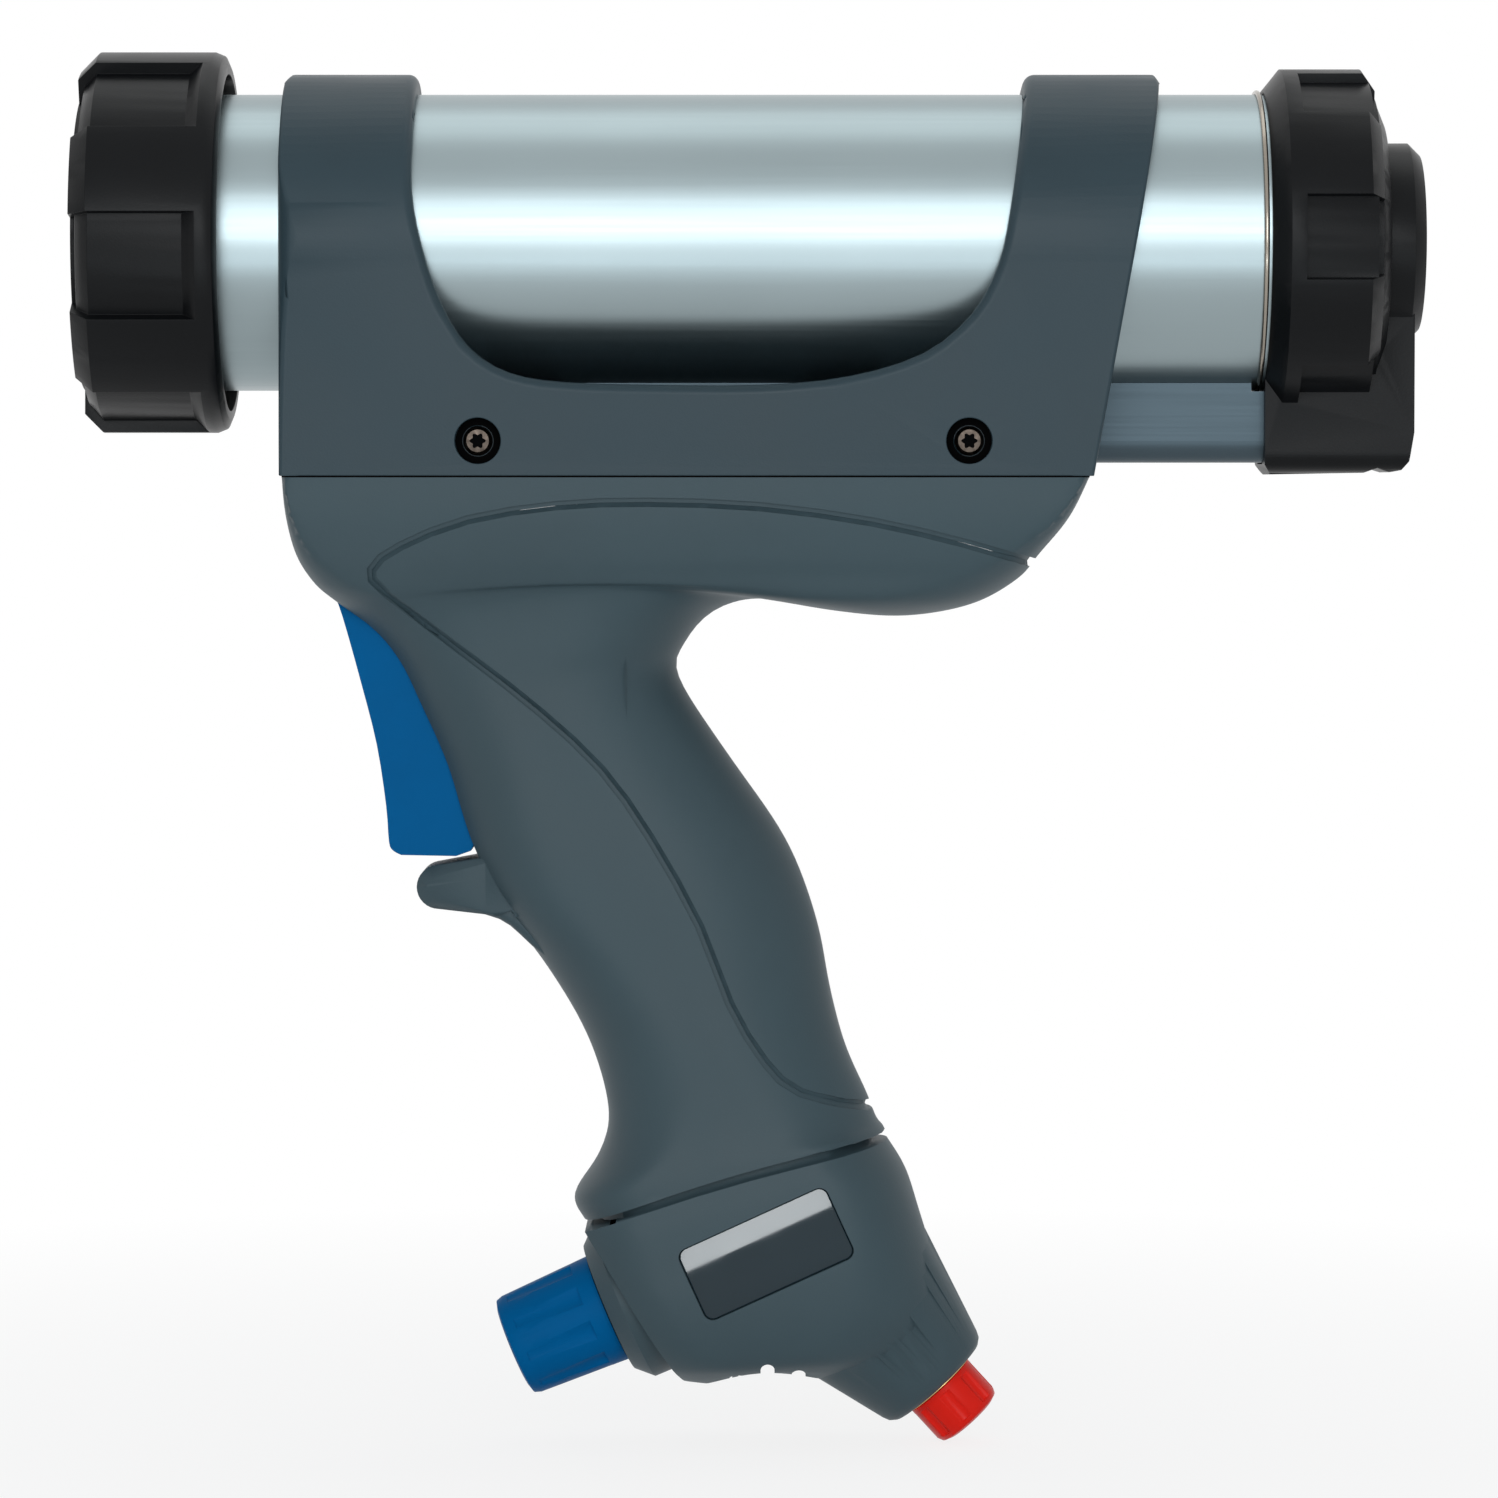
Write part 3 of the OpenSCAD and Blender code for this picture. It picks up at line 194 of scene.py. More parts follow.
# drawn, turned and anodised metal: fine lines in the gloss, long where the look stretches them, and a cloudy colour
def drawnMetal(look):
    material, tree, links, shader = startMaterial(look["name"])
    lines = noiseOn(tree, links, look["lineScale"], look["lineDetail"], look["stretch"])
    cloud = noiseOn(tree, links, look["cloudScale"], look["cloudDetail"])
    shader.inputs["Metallic"].default_value = look["metallic"]
    addColour(tree, links, cloud, shader, look["colour"], 1 - look["cloud"], 1 + look["cloud"])
    addRoughness(tree, links, lines, shader, look["rough"], look["lines"])
    addBump(tree, links, lines, shader, look["bump"], look["bumpDepth"])
    return material


# sintered metal: coarse grains, with the colour painted darker where the bump dips, painted shade in the pores between
# them
def sinteredMetal(look):
    material, tree, links, shader = startMaterial(look["name"])
    grains = noiseOn(tree, links, look["grainScale"], look["grainDetail"])
    shader.inputs["Metallic"].default_value = look["metallic"]
    # painted shade: the colour darkens with the grains' depth, in the pores
    addColour(tree, links, grains, shader, look["colour"], look["poreShade"], 1.0)
    addRoughness(tree, links, grains, shader, look["rough"], look["roughSpread"])
    addBump(tree, links, grains, shader, look["grain"], look["grainDepth"])
    return material


plasticBase = {
    "mottle": 0.05, "mottleScale": 45.0, "mottleDetail": 4.0, "roughSpread": 0.04, "gloss": 0.25,
    "grain": 0.22, "grainScale": 2600.0, "grainDetail": 2.0, "grainDepth": 0.00008,
}
plastics = {
    "grey_plastic": {"name": "greyPlastic", "colour": (0.047, 0.077, 0.091), "rough": 0.5},
    # a darker copy of the grey plastic for the cradle: painted shade
    "cradle": {"name": "cradlePlastic", "colour": (0.027, 0.050, 0.063), "rough": 0.44},
    "black_plastic": {"name": "blackPlastic", "colour": (0.0028, 0.0034, 0.0042), "rough": 0.36,
                      "mottle": 0.15, "gloss": 0.14},
    "blue_plastic": {"name": "bluePlastic", "colour": (0.0, 0.112, 0.31), "rough": 0.42, "grain": 0.12, "gloss": 0.03},
    "red_plastic": {"name": "redPlastic", "colour": (0.86, 0.016, 0.007), "rough": 0.34, "grain": 0.1, "gloss": 0.14},
    "badge_black": {"name": "badgeBlack", "colour": (0.010, 0.030, 0.042), "rough": 0.05, "grain": 0.0, "gloss": 0.35},
    "rubber": {"name": "sealRubber", "colour": (0.018, 0.018, 0.018), "rough": 0.7, "grain": 0.3},
    # near-black finish that stands in for shade: painted shade in the cradle seam and the screw holes
    "painted_shade": {"name": "darkRecess", "colour": (0.0022, 0.0022, 0.0024), "rough": 0.8, "gloss": 0.02},
}
metalBase = {
    "metallic": 1.0, "cloud": 0.05, "cloudScale": 100.0, "cloudDetail": 3.0, "bump": 0.05, "bumpDepth": 0.00004,
    "lines": 0.05, "lineScale": 1500.0, "lineDetail": 2.0, "stretch": (1, 1, 1),
}
anodisedBase = {**metalBase, "cloudScale": 30.0, "lines": 0.03, "lineScale": 1800.0, "stretch": (0.01, 1, 1)}
metals = {
    "anodised_barrel": {**anodisedBase, "name": "anodisedBarrel", "colour": (0.285, 0.345, 0.362), "rough": 0.34,
                        "cloud": 0.02},
    "anodised_channel": {**anodisedBase, "name": "anodisedChannel", "colour": (0.050, 0.074, 0.090), "rough": 0.42,
                         "cloud": 0.04, "metallic": 0.75},
    "bright_metal": {**metalBase, "name": "brightMetal", "colour": (0.78, 0.77, 0.75), "rough": 0.24,
                     "cloud": 0.02, "cloudScale": 60.0, "lines": 0.04, "stretch": (1, 0.02, 0.02)},
    "steel": {**metalBase, "name": "nickelSteel", "colour": (0.62, 0.60, 0.57), "rough": 0.27,
              "cloud": 0.06, "cloudScale": 400.0, "lineScale": 900.0},
    "spring_steel": {**metalBase, "name": "springSteel", "colour": (0.5, 0.5, 0.5), "rough": 0.3,
                     "cloud": 0.04, "cloudScale": 200.0},
    "brass": {**metalBase, "name": "turnedBrass", "colour": (0.72, 0.50, 0.22), "rough": 0.28, "cloudScale": 150.0},
    "ring": {**metalBase, "name": "ringSteel", "colour": (0.30, 0.27, 0.23), "rough": 0.2, "bump": 0.02},
    "screw": {**metalBase, "name": "screwNickel", "colour": (0.075, 0.060, 0.050), "rough": 0.34,
              "cloud": 0.3, "cloudScale": 700.0, "lines": 0.08, "lineScale": 900.0, "bump": 0.1},
}
sinterLook = {
    "name": "sinteredBronze", "colour": (0.45, 0.34, 0.18), "poreShade": 0.5, "metallic": 0.8, "rough": 0.65,
    "roughSpread": 0.15, "grain": 0.6, "grainScale": 1800.0, "grainDetail": 1.0, "grainDepth": 0.0003,
}
materials = {slot: mouldedPlastic({**plasticBase, **look}) for slot, look in plastics.items()}
materials.update((slot, drawnMetal(look)) for slot, look in metals.items())
materials["sinter"] = sinteredMetal(sinterLook)

slotOf = {row["node"]: row["material_slot"] for row in frame["record"]["subparts"]}
bodyOf = {node: body for body, members in frame["record"]["behaviour"]["bodies"].items() for node in members}
for node, slot in slotOf.items():
    nodes[node].data.materials.clear()
    nodes[node].data.materials.append(materials[slot])
print("materials made:", len(materials))


# Pieces: copies of CAD solids, which they replace, and a few that stand beside them

pieceLook = {
    "merge": 0.004 * mm, "flat": math.radians(0.3),  # points this close and faces this level become one
    "smooth": 32.0, "sharp": math.radians(35), "steps": 3,
}


def mergedCopy(node):
    bm = bmesh.new()
    bm.from_mesh(nodes[node].data)
    bmesh.ops.remove_doubles(bm, verts=bm.verts, dist=pieceLook["merge"])
    return bm


# a merged copy in which the triangles of each flat face are joined
def flatCopy(node):
    bm = mergedCopy(node)
    bmesh.ops.dissolve_limit(bm, angle_limit=pieceLook["flat"], verts=bm.verts, edges=bm.edges)
    return bm


def vertsOf(geom):
    return [part for part in geom if isinstance(part, bmesh.types.BMVert)]


def edgesOf(geom):
    return [part for part in geom if isinstance(part, bmesh.types.BMEdge)]


def extrudeFaces(bm, faces, step):
    moved = bmesh.ops.extrude_face_region(bm, geom=faces)["geom"]
    bmesh.ops.translate(bm, verts=vertsOf(moved), vec=step)


def addPiece(bm, name, body, slot, smoothAngle=pieceLook["smooth"], finish=None):
    mesh = bpy.data.meshes.new(name)
    bm.to_mesh(mesh)
    bm.free()
    mesh.materials.append(materials[finish or slot])
    mesh.shade_smooth()
    mesh.set_sharp_from_angle(angle=math.radians(smoothAngle))
    piece = bpy.data.objects.new(name, mesh)
    bpy.context.scene.collection.objects.link(piece)
    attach(piece, body)
    return piece


def finishPiece(bm, name, node, smoothAngle=pieceLook["smooth"], finish=None):
    piece = addPiece(bm, name, bodyOf[node], slotOf[node], smoothAngle, finish)
    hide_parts(node)
    return piece


def roundEdges(piece, width, steps=pieceLook["steps"]):
    bevel = piece.modifiers.new("moulded edges", "BEVEL")
    bevel.width = width
    bevel.segments = steps
    bevel.limit_method = "ANGLE"
    bevel.angle_limit = pieceLook["sharp"]
    bevel.use_clamp_overlap = True
    bevel.harden_normals = True
    return bevel


# the wall of the cradle's window meets the outside in a soft lip, and the other outer edges have a share of its width
cradleLook = {
    "lip": 1.8 * mm, "steps": 6, "sharp": math.radians(35), "outside": 29.5 * mm,
    "windowFrom": 61.5 * mm, "windowTo": 176.5 * mm, "windowFloor": -27.5 * mm, "upright": 0.01,
    "edgeShare": 0.36, "footShare": 0.13, "footReach": 0.05 * mm,
    "screwShare": 0.1, "screwZ": -37.0 * mm, "screwReach": 4.4 * mm, "screwSide": 20 * mm,
    "screwsFrom": 8 * mm, "screwsTo": 20 * mm,  # from the front and the rear end of the cradle
}


def addCradle(look):
    bm = flatCopy("barrel_cradle")
    share = bm.edges.layers.float.new("bevel_weight_edge")
    low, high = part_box("barrel_cradle")

    def inWindow(face):
        centre = face.calc_center_median()
        return (abs(face.normal.y) < look["upright"] and look["windowFrom"] < centre.x < look["windowTo"]
                and centre.z > look["windowFloor"])

    def shareAt(point):
        if abs(point.z - low.z) < look["footReach"]:
            return look["footShare"]
        if (abs(point.z - look["screwZ"]) < look["screwReach"] and abs(point.y) > look["screwSide"]
                and low.x + look["screwsFrom"] < point.x < high.x - look["screwsTo"]):
            return look["screwShare"]
        return look["edgeShare"]

    wall = {face for face in bm.faces if inWindow(face)}
    for edge in bm.edges:
        if len(edge.link_faces) != 2 or min(math.hypot(v.co.y, v.co.z) for v in edge.verts) < look["outside"]:
            continue
        if sum(face in wall for face in edge.link_faces) == 1:
            edge[share] = 1.0
        elif edge.calc_face_angle_signed() > look["sharp"]:
            edge[share] = shareAt((edge.verts[0].co + edge.verts[1].co) / 2)
    # the cradle takes the darker copy of the grey plastic, painted shade
    bevel = roundEdges(finishPiece(bm, "cradle", "barrel_cradle", finish="cradle"), look["lip"], look["steps"])
    bevel.limit_method = "WEIGHT"
    bevel.use_clamp_overlap = False


addCradle(cradleLook)
print("cradle made")


# The outer skins of the handle, palm grip and base are drawn onto smooth forms that their sections describe

onSkin, inGroove = 1, 2
skinBase = {
    "steps": 8, "roundSteps": 24, "flatSteps": 12,  # from section to section, round a corner and along a side
    "relax": (0.5, -0.504),  # each round smooths the form, then swells it back
    "crease": math.radians(40), "shallow": 0.8 * mm,  # a patch ends at a crease, and below this depth it is a groove
    "longest": 2.2 * mm, "passes": 4, "rim": 0.01 * mm,  # longest edge, and the rim on top that stays in place
    "groove": 1.0 * mm, "step": 0.12 * mm, "blend": 5 * mm,  # the floor's depth, where it meets the skin, its shading
}

# each section: front x, z, rear x, z, rise of the middle, share of the cradle's width, front and rear round, in mm
gripForm = {
    **skinBase,
    "sections": [
        (37.9, -43.5, 186.2, -43.5, 0, 1.0, 4, 4), (38.4, -50.5, 182.6, -51.0, 0, 0.94, 6, 9),
        (40.0, -58.0, 177.2, -58.0, 0, 0.78, 10, 16), (43.0, -63.2, 173.6, -62.4, 3, 0.64, 14, 22),
        (46.0, -66.0, 165.0, -67.2, 7, 0.54, 16, 28), (48.8, -68.2, 152.0, -69.4, 11, 0.44, 17, 32),
        (51.6, -70.4, 138.0, -68.2, 11, 0.35, 17, 32), (54.2, -73.0, 125.7, -66.2, 8, 0.26, 17, 30),
        (56.4, -76.0, 117.0, -68.6, 4, 0.18, 17, 27), (58.4, -79.6, 111.6, -74.6, 1, 0.11, 17, 25),
        (60.6, -85.0, 110.6, -81.0, 0, 0.05, 17, 25), (65.6, -97.0, 119.5, -95.0, 0, 0, 17, 26),
        (69.6, -110.0, 130.4, -111.0, 0, 0, 17, 27), (75.0, -121.0, 136.2, -126.0, 0, 0, 17, 27),
        (84.5, -133.0, 138.7, -138.5, 0, 0, 17, 26), (93.2, -147.5, 141.6, -149.5, 0, 0.02, 17, 24),
        (97.3, -161.5, 145.6, -158.6, 0, 0.06, 17, 22), (95.6, -170.0, 147.4, -163.2, 1, 0.11, 16, 20),
        (91.0, -177.6, 148.6, -164.8, 2, 0.16, 15, 18), (92.8, -182.2, 149.1, -165.6, 3, 0.18, 14, 16),
    ],
    "gripHalf": 17.6, "cradleHalf": 28.0, "squareness": 0.3, "near": 1.9 * mm, "alike": 0.6, "rounds": 180,
}

# the base likewise, with half widths in place of the shares
baseForm = {
    **skinBase,
    "sections": [
        (88.4, -185.3, 149.6, -167.3, 3, 19.5, 16, 16), (89.4, -187.5, 153.0, -173.0, 2, 20.1, 16, 15),
        (91.4, -193.0, 155.6, -181.0, 1, 20.2, 16, 15), (94.4, -199.4, 158.2, -189.5, 1, 20.2, 16, 18),
        (98.0, -205.4, 161.0, -199.0, 2, 19.2, 16, 22), (103.4, -210.0, 159.0, -207.0, 3, 17.0, 16, 26),
        (110.0, -212.6, 148.0, -211.4, 5, 13.6, 15, 20), (115.2, -213.5, 138.0, -212.6, 5.4, 9.8, 10, 10),
    ],
    "gripHalf": 0.0, "cradleHalf": 1.0, "squareness": 1.0, "near": 0.55 * mm, "alike": 0.9, "rounds": 20,
}


# a smooth curve through rows of numbers, in so many steps from row to row
def splineThrough(rows, steps):
    path = []
    for i in range(len(rows) - 1):
        a, b, c, d = rows[max(i - 1, 0)], rows[i], rows[i + 1], rows[min(i + 2, len(rows) - 1)]
        for j in range(steps):
            t = j / steps
            path.append([(2 * q + (r - p) * t + (2 * p - 5 * q + 4 * r - s) * t * t
                          + (3 * q - p - 3 * r + s) * t ** 3) / 2 for p, q, r, s in zip(a, b, c, d)])
    return path + [list(rows[-1])]


# one section as a closed ring of points, where u runs from its front to its rear
def sectionRing(row, form):
    frontX, frontZ, rearX, rearZ, rise, half, frontRound, rearRound, power = row
    length = math.hypot(rearX - frontX, rearZ - frontZ)
    corner = []
    for i in range(form["roundSteps"]):
        a = math.pi / 2 * i / form["roundSteps"]
        corner.append((1 - math.cos(a) ** power, half * math.sin(a) ** power))
    corner.append((1, half))
    side = [(frontRound * u / length, y) for u, y in corner]
    for i in range(1, form["flatSteps"]):
        t = i / form["flatSteps"]
        side.append(((frontRound * (1 - t) + (length - rearRound) * t) / length, half))
    side += [(1 - rearRound * u / length, y) for u, y in reversed(corner)]
    ring = []
    for u, y in side + [(u, -y) for u, y in reversed(side[1:-1])]:
        x = frontX * (1 - u) ** 2 + (frontX + rearX) * u * (1 - u) + rearX * u * u
        z = frontZ * (1 - u) ** 2 + (frontZ + rearZ + 2 * rise) * u * (1 - u) + rearZ * u * u
        ring.append(Vector((x, y, z)) * mm)
    return ring


# the sections finely lofted and relaxed, as points, faces, the points' normals and a tree that finds the nearest place
def smoothForm(form):
    rows = []
    for frontX, frontZ, rearX, rearZ, rise, share, frontRound, rearRound in form["sections"]:
        half = form["gripHalf"] * (1 - share) + form["cradleHalf"] * share
        power = 1 - (1 - form["squareness"]) * share
        rows.append((frontX, frontZ, rearX, rearZ, rise, half, frontRound, rearRound, power))
    grid = numpy.array([sectionRing(row, form) for row in splineThrough(rows, form["steps"])])
    for share in form["relax"] * form["rounds"]:
        beside = numpy.roll(grid, 1, 1) + numpy.roll(grid, -1, 1)
        grid[1:-1] += share * ((beside[1:-1] + grid[2:] + grid[:-2]) / 4 - grid[1:-1])
    rings, count = grid.shape[:2]
    points = [Vector(point) for ring in grid for point in ring]
    faces = []
    for start in range(0, (rings - 1) * count, count):
        for j in range(count):
            k = (j + 1) % count
            faces.append((start + j, start + k, start + count + k, start + count + j))
    mesh = bpy.data.meshes.new("form")
    mesh.from_pydata(points, [], faces)
    normals = [normal.vector.copy() for normal in mesh.vertex_normals]
    bpy.data.meshes.remove(mesh)
    return {"points": points, "faces": faces, "normals": normals, "tree": BVHTree.FromPolygons(points, faces)}


# marks the patches that lie along the form, as skin or as a groove's floor by their mean depth
def markSkin(bm, mark, form, tree):
    depths = {}
    for face in bm.faces:
        middle = face.calc_center_median()
        at, normal, _, distance = tree.find_nearest(middle)
        if normal.dot(face.normal) > form["alike"] and distance < form["near"]:
            depths[face] = (at - middle).dot(normal)
    left = set(depths)
    while left:
        patch = [left.pop()]
        for face in patch:
            for edge in face.edges:
                if edge.calc_face_angle(math.pi) < form["crease"]:
                    found = [other for other in edge.link_faces if other in left]
                    left.difference_update(found)
                    patch += found
        depth = sum(depths[face] * face.calc_area() for face in patch) / sum(face.calc_area() for face in patch)
        for face in patch:
            face[mark] = onSkin if depth < form["shallow"] else inGroove


# splits the marked faces until their edges are short
def refineSkin(bm, mark, form):
    bmesh.ops.triangulate(bm, faces=[face for face in bm.faces if face[mark]])
    for _ in range(form["passes"]):
        edges = [edge for edge in bm.edges
                 if edge.calc_length() > form["longest"] and any(face[mark] for face in edge.link_faces)]
        bmesh.ops.subdivide_edges(bm, edges=edges, cuts=1)
        bmesh.ops.triangulate(bm, faces=[face for face in bm.faces if face[mark] and len(face.verts) > 3])


# moves the marked points onto the form, or to a groove's depth below it, and a sloping floor rises to the skin
def placeSkin(bm, mark, form, tree, top, slope):
    skin = {v for face in bm.faces if face[mark] == onSkin for v in face.verts}
    floor = {v for face in bm.faces if face[mark] == inGroove for v in face.verts} - skin
    for v in skin | floor:
        if v.co.z >= top:
            continue
        depth = 0 if v in skin else form["groove"]
        if slope and v in floor and any(w in skin for face in v.link_faces for w in face.verts):
            depth = form["step"]
        at, normal, _, _ = tree.find_nearest(v.co)
        v.co = at - depth * normal


# the skin takes the form's normals, and a groove's floor the mean normal of the floor round each point
def shadeSkin(mesh, kinds, form, surface):
    strips = [face for face, kind in zip(mesh.polygons, kinds) if kind == inGroove]
    around = KDTree(max(len(strips), 1))
    for i, strip in enumerate(strips):
        around.insert(strip.center, i)
    around.balance()

    def grooveNormal(point):
        normal = Vector()
        for _, i, _ in around.find_range(point, form["blend"]):
            normal += strips[i].area * strips[i].normal
        return normal

    def skinNormal(point):
        at, _, index, _ = surface["tree"].find_nearest(point)
        quad = surface["faces"][index]
        normal = Vector()
        for weight, i in zip(poly_3d_calc([surface["points"][i] for i in quad], at), quad):
            normal += weight * surface["normals"][i]
        return normal

    corners = [normal.vector.copy() for normal in mesh.corner_normals]
    for face, kind in zip(mesh.polygons, kinds):
        if not kind:
            continue
        normalAt = skinNormal if kind == onSkin else grooveNormal
        for loop in face.loop_indices:
            normal = normalAt(mesh.vertices[mesh.loops[loop].vertex_index].co)
            if normal.dot(face.normal) > 0:
                corners[loop] = normal.normalized()
    mesh.normals_split_custom_set(corners)


def smoothSkin(node, name, form, surface, slope=False):
    bm = flatCopy(node)
    mark = bm.faces.layers.int.new("skin")
    markSkin(bm, mark, form, surface["tree"])
    refineSkin(bm, mark, form)
    top = max(point.z for point in surface["points"]) - form["rim"]
    placeSkin(bm, mark, form, surface["tree"], top, slope)
    kinds = [face[mark] for face in bm.faces]
    shadeSkin(finishPiece(bm, name, node).data, kinds, form, surface)
    print("skin smoothed:", name, kinds.count(onSkin), "faces")


gripSurface = smoothForm(gripForm)
smoothSkin("handle_frame", "handleFrame", gripForm, gripSurface)
smoothSkin("palm_grip", "palmGrip", gripForm, gripSurface, slope=True)
smoothSkin("base_housing", "baseHousing", baseForm, smoothForm(baseForm))


# the finger rest runs into the handle in a web, whose outline is seen from the side, in mm
webLook = {
    "outline": [(71.0, -124.3), (74.6, -124.95), (77.2, -125.8), (79.2, -127.0), (81.0, -128.6), (83.3, -130.8),
                (86.2, -133.2), (90.0, -135.0), (88.0, -126.0), (80.0, -119.5), (71.0, -119.5)],
    "half": 8.5 * mm, "edge": 1.6 * mm, "steps": 6,
}


def addWeb(look):
    bm = bmesh.new()
    bm.faces.new([bm.verts.new((x * mm, -look["half"], z * mm)) for x, z in look["outline"]])
    extrudeFaces(bm, bm.faces[:], (0, 2 * look["half"], 0))
    bmesh.ops.recalc_face_normals(bm, faces=bm.faces)
    web = addPiece(bm, "restWeb", bodyOf["handle_frame"], slotOf["handle_frame"])
    roundEdges(web, look["edge"], look["steps"])


addWeb(webLook)


# a near-black strip lies in the seam between the cradle and the handle, painted shade where the gap falls in shadow
seamShadeLook = {"below": 0.26 * mm, "above": 0.06 * mm, "proud": 0.03 * mm, "reach": 0.25 * mm, "level": 0.99}


def addSeamShade(look):
    bm = mergedCopy("handle_frame")
    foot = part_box("barrel_cradle")[0].z
    rim = {face for face in bm.faces
           if face.normal.z > look["level"] and abs(face.calc_center_median().z - foot) < look["reach"]}
    bmesh.ops.delete(bm, geom=[face for face in bm.faces if face not in rim], context="FACES")
    for v in bm.verts:
        v.co.z = foot - look["below"]
    extrudeFaces(bm, bm.faces[:], (0, 0, look["below"] + look["above"]))
    bmesh.ops.recalc_face_normals(bm, faces=bm.faces)
    steps = {v: Vector((v.normal.x, v.normal.y, 0)).normalized() * look["proud"] for v in bm.verts}
    for v, step in steps.items():
        v.co += step
    # painted shade along the seam: the near-black finish overrides the rubber slot passed beside it
    addPiece(bm, "seamStrip", bodyOf["handle_frame"], "rubber", finish="painted_shade")


addSeamShade(seamShadeLook)


# the retaining ring is a round wire, sunk a little in the tube
ringLook = {"wire": 0.5 * mm, "steps": 128, "round": 12, "sink": 0.15 * mm, "merge": 0.001 * mm, "smooth": 60.0}


def addRing(look):
    low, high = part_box("barrel_retaining_ring")
    middle = Vector(((low.x + high.x) / 2, 0, 0))
    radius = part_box("barrel_tube")[1].z + look["wire"] - look["sink"]
    place = Matrix.Translation(middle + Vector((0, 0, radius))) @ Matrix.Rotation(math.pi / 2, 4, "X")
    bm = bmesh.new()
    bmesh.ops.create_circle(bm, segments=look["round"], radius=look["wire"], matrix=place)
    bmesh.ops.spin(bm, geom=bm.verts[:] + bm.edges[:], cent=middle, axis=(1, 0, 0), angle=2 * math.pi,
                   steps=look["steps"], use_merge=True)
    bmesh.ops.remove_doubles(bm, verts=bm.verts, dist=look["merge"])
    bmesh.ops.recalc_face_normals(bm, faces=bm.faces)
    finishPiece(bm, "retainingRing", "barrel_retaining_ring", look["smooth"], "ring")


addRing(ringLook)
print("seam strip and ring made")


# the badge is domed: its face leans from the low angle at its lower edge to the high one at its upper edge
badgeLook = {"tilt": 24.6, "low": -1.0, "high": 6.9, "strips": 12, "merge": 1e-7}


def domeBadge(bm, look):
    low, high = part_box("badge_plate")
    middle = (low + high) / 2
    tilt = math.radians(look["tilt"])
    up = Vector((-math.sin(tilt), 0, math.cos(tilt)))
    reach = max((v.co - middle).dot(up) for v in bm.verts)
    for step in range(1, look["strips"]):
        at = middle + up * reach * (2 * step / look["strips"] - 1)
        bmesh.ops.bisect_plane(bm, geom=bm.verts[:] + bm.edges[:] + bm.faces[:], dist=look["merge"],
                               plane_co=at, plane_no=up)
    start, end = math.radians(look["low"]), math.radians(look["high"])
    for v in bm.verts:
        if v.co.y < middle.y:
            t = ((v.co - middle).dot(up) / reach + 1) / 2
            v.co.y += 2 * reach * (start * t + (end - start) * t * t / 2)


mouldings = {
    "knob_collar": {"name": "knobCollar", "edge": 0.5 * mm},
    "front_cap": {"name": "frontCap", "edge": 0.45 * mm},
    "rear_cap": {"name": "rearCap", "edge": 0.45 * mm},
    "trigger": {"name": "trigger", "edge": 1.2 * mm},
    "regulator_knob": {"name": "regulatorKnob", "edge": 0.5 * mm},
    "inlet_plug": {"name": "inletPlug", "edge": 0.4 * mm},
    "badge_plate": {"name": "badgePlate", "edge": 0.25 * mm, "dome": badgeLook},
}


def roundMoulding(node, look):
    bm = flatCopy(node)
    if "dome" in look:
        domeBadge(bm, look["dome"])
    roundEdges(finishPiece(bm, look["name"], node), look["edge"])
    print("moulding rounded:", look["name"])


for node, look in mouldings.items():
    roundMoulding(node, look)


# Springs: real coils in place of the plain sleeves, with sides round the wire and steps in a turn

coilBase = {"sides": 8, "steps": 28, "smooth": 60.0}
springs = {
    "valve_spring": {**coilBase, "name": "valveCoil", "joint": "valve_stroke", "stroke": 3.77 * mm,
                     "radius": 3.3 * mm, "wire": 0.45 * mm, "turns": 5},
    "regulator_spring": {**coilBase, "name": "regulatorCoil", "joint": "seat_advance", "stroke": 3.0 * mm,
                         "radius": 6.6 * mm, "wire": 1.0 * mm, "turns": 4},
    "poppet_spring": {**coilBase, "name": "poppetCoil", "joint": "regulator_lift", "stroke": 0.8 * mm,
                      "radius": 2.5 * mm, "wire": 0.3 * mm, "turns": 4},
}


# the two ends of a sleeve that stands along an axis
def sleeveEnds(node, axis):
    along = [v.co.dot(axis) for v in nodes[node].data.vertices]
    low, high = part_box(node)
    middle = (low + high) / 2
    middle -= axis * middle.dot(axis)
    return middle + axis * min(along), middle + axis * max(along)


def addCoil(node, look):
    joint = next(j for j in frame["joints"] if j["name"] == look["joint"])
    axis = Vector(joint["axis"]).normalized()
    start, end = sleeveEnds(node, axis)
    start, end = start + axis * look["wire"], end - axis * look["wire"]
    place = Matrix.Translation(start) @ axis.to_track_quat("Z", "Y").to_matrix().to_4x4()
    place = place @ Matrix.Translation((look["radius"], 0, 0)) @ Matrix.Rotation(math.pi / 2, 4, "X")
    steps = look["turns"] * look["steps"]
    bm = bmesh.new()
    bmesh.ops.create_circle(bm, segments=look["sides"], radius=look["wire"], matrix=place)
    bmesh.ops.spin(bm, geom=bm.verts[:] + bm.edges[:], cent=start, axis=axis, dvec=(end - start) / steps,
                   angle=2 * math.pi * look["turns"], steps=steps, use_merge=False)
    bmesh.ops.holes_fill(bm, edges=[edge for edge in bm.edges if edge.is_boundary], sides=look["sides"])
    bmesh.ops.recalc_face_normals(bm, faces=bm.faces)
    coil = finishPiece(bm, look["name"], node, look["smooth"])
    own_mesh(coil)


for node, look in springs.items():
    addCoil(node, look)
print("springs coiled")


# Screws: pan heads with a star recess, sunk in the sides of the cradle

screwLook = {
    "head": 2.75 * mm, "rise": 1.9 * mm, "sides": 48, "smooth": 30.0,
    "star": 1.5 * mm, "starIn": 1.05 * mm, "starDepth": 1.2 * mm, "starPoints": 6,
    # radius and height from the edge of the star to the shank's end, in mm
    "profile": [(2.05, 1.78), (2.6, 1.14), (2.75, 0.25), (2.75, 0), (1.5, 0), (1.5, -11.6)],
}


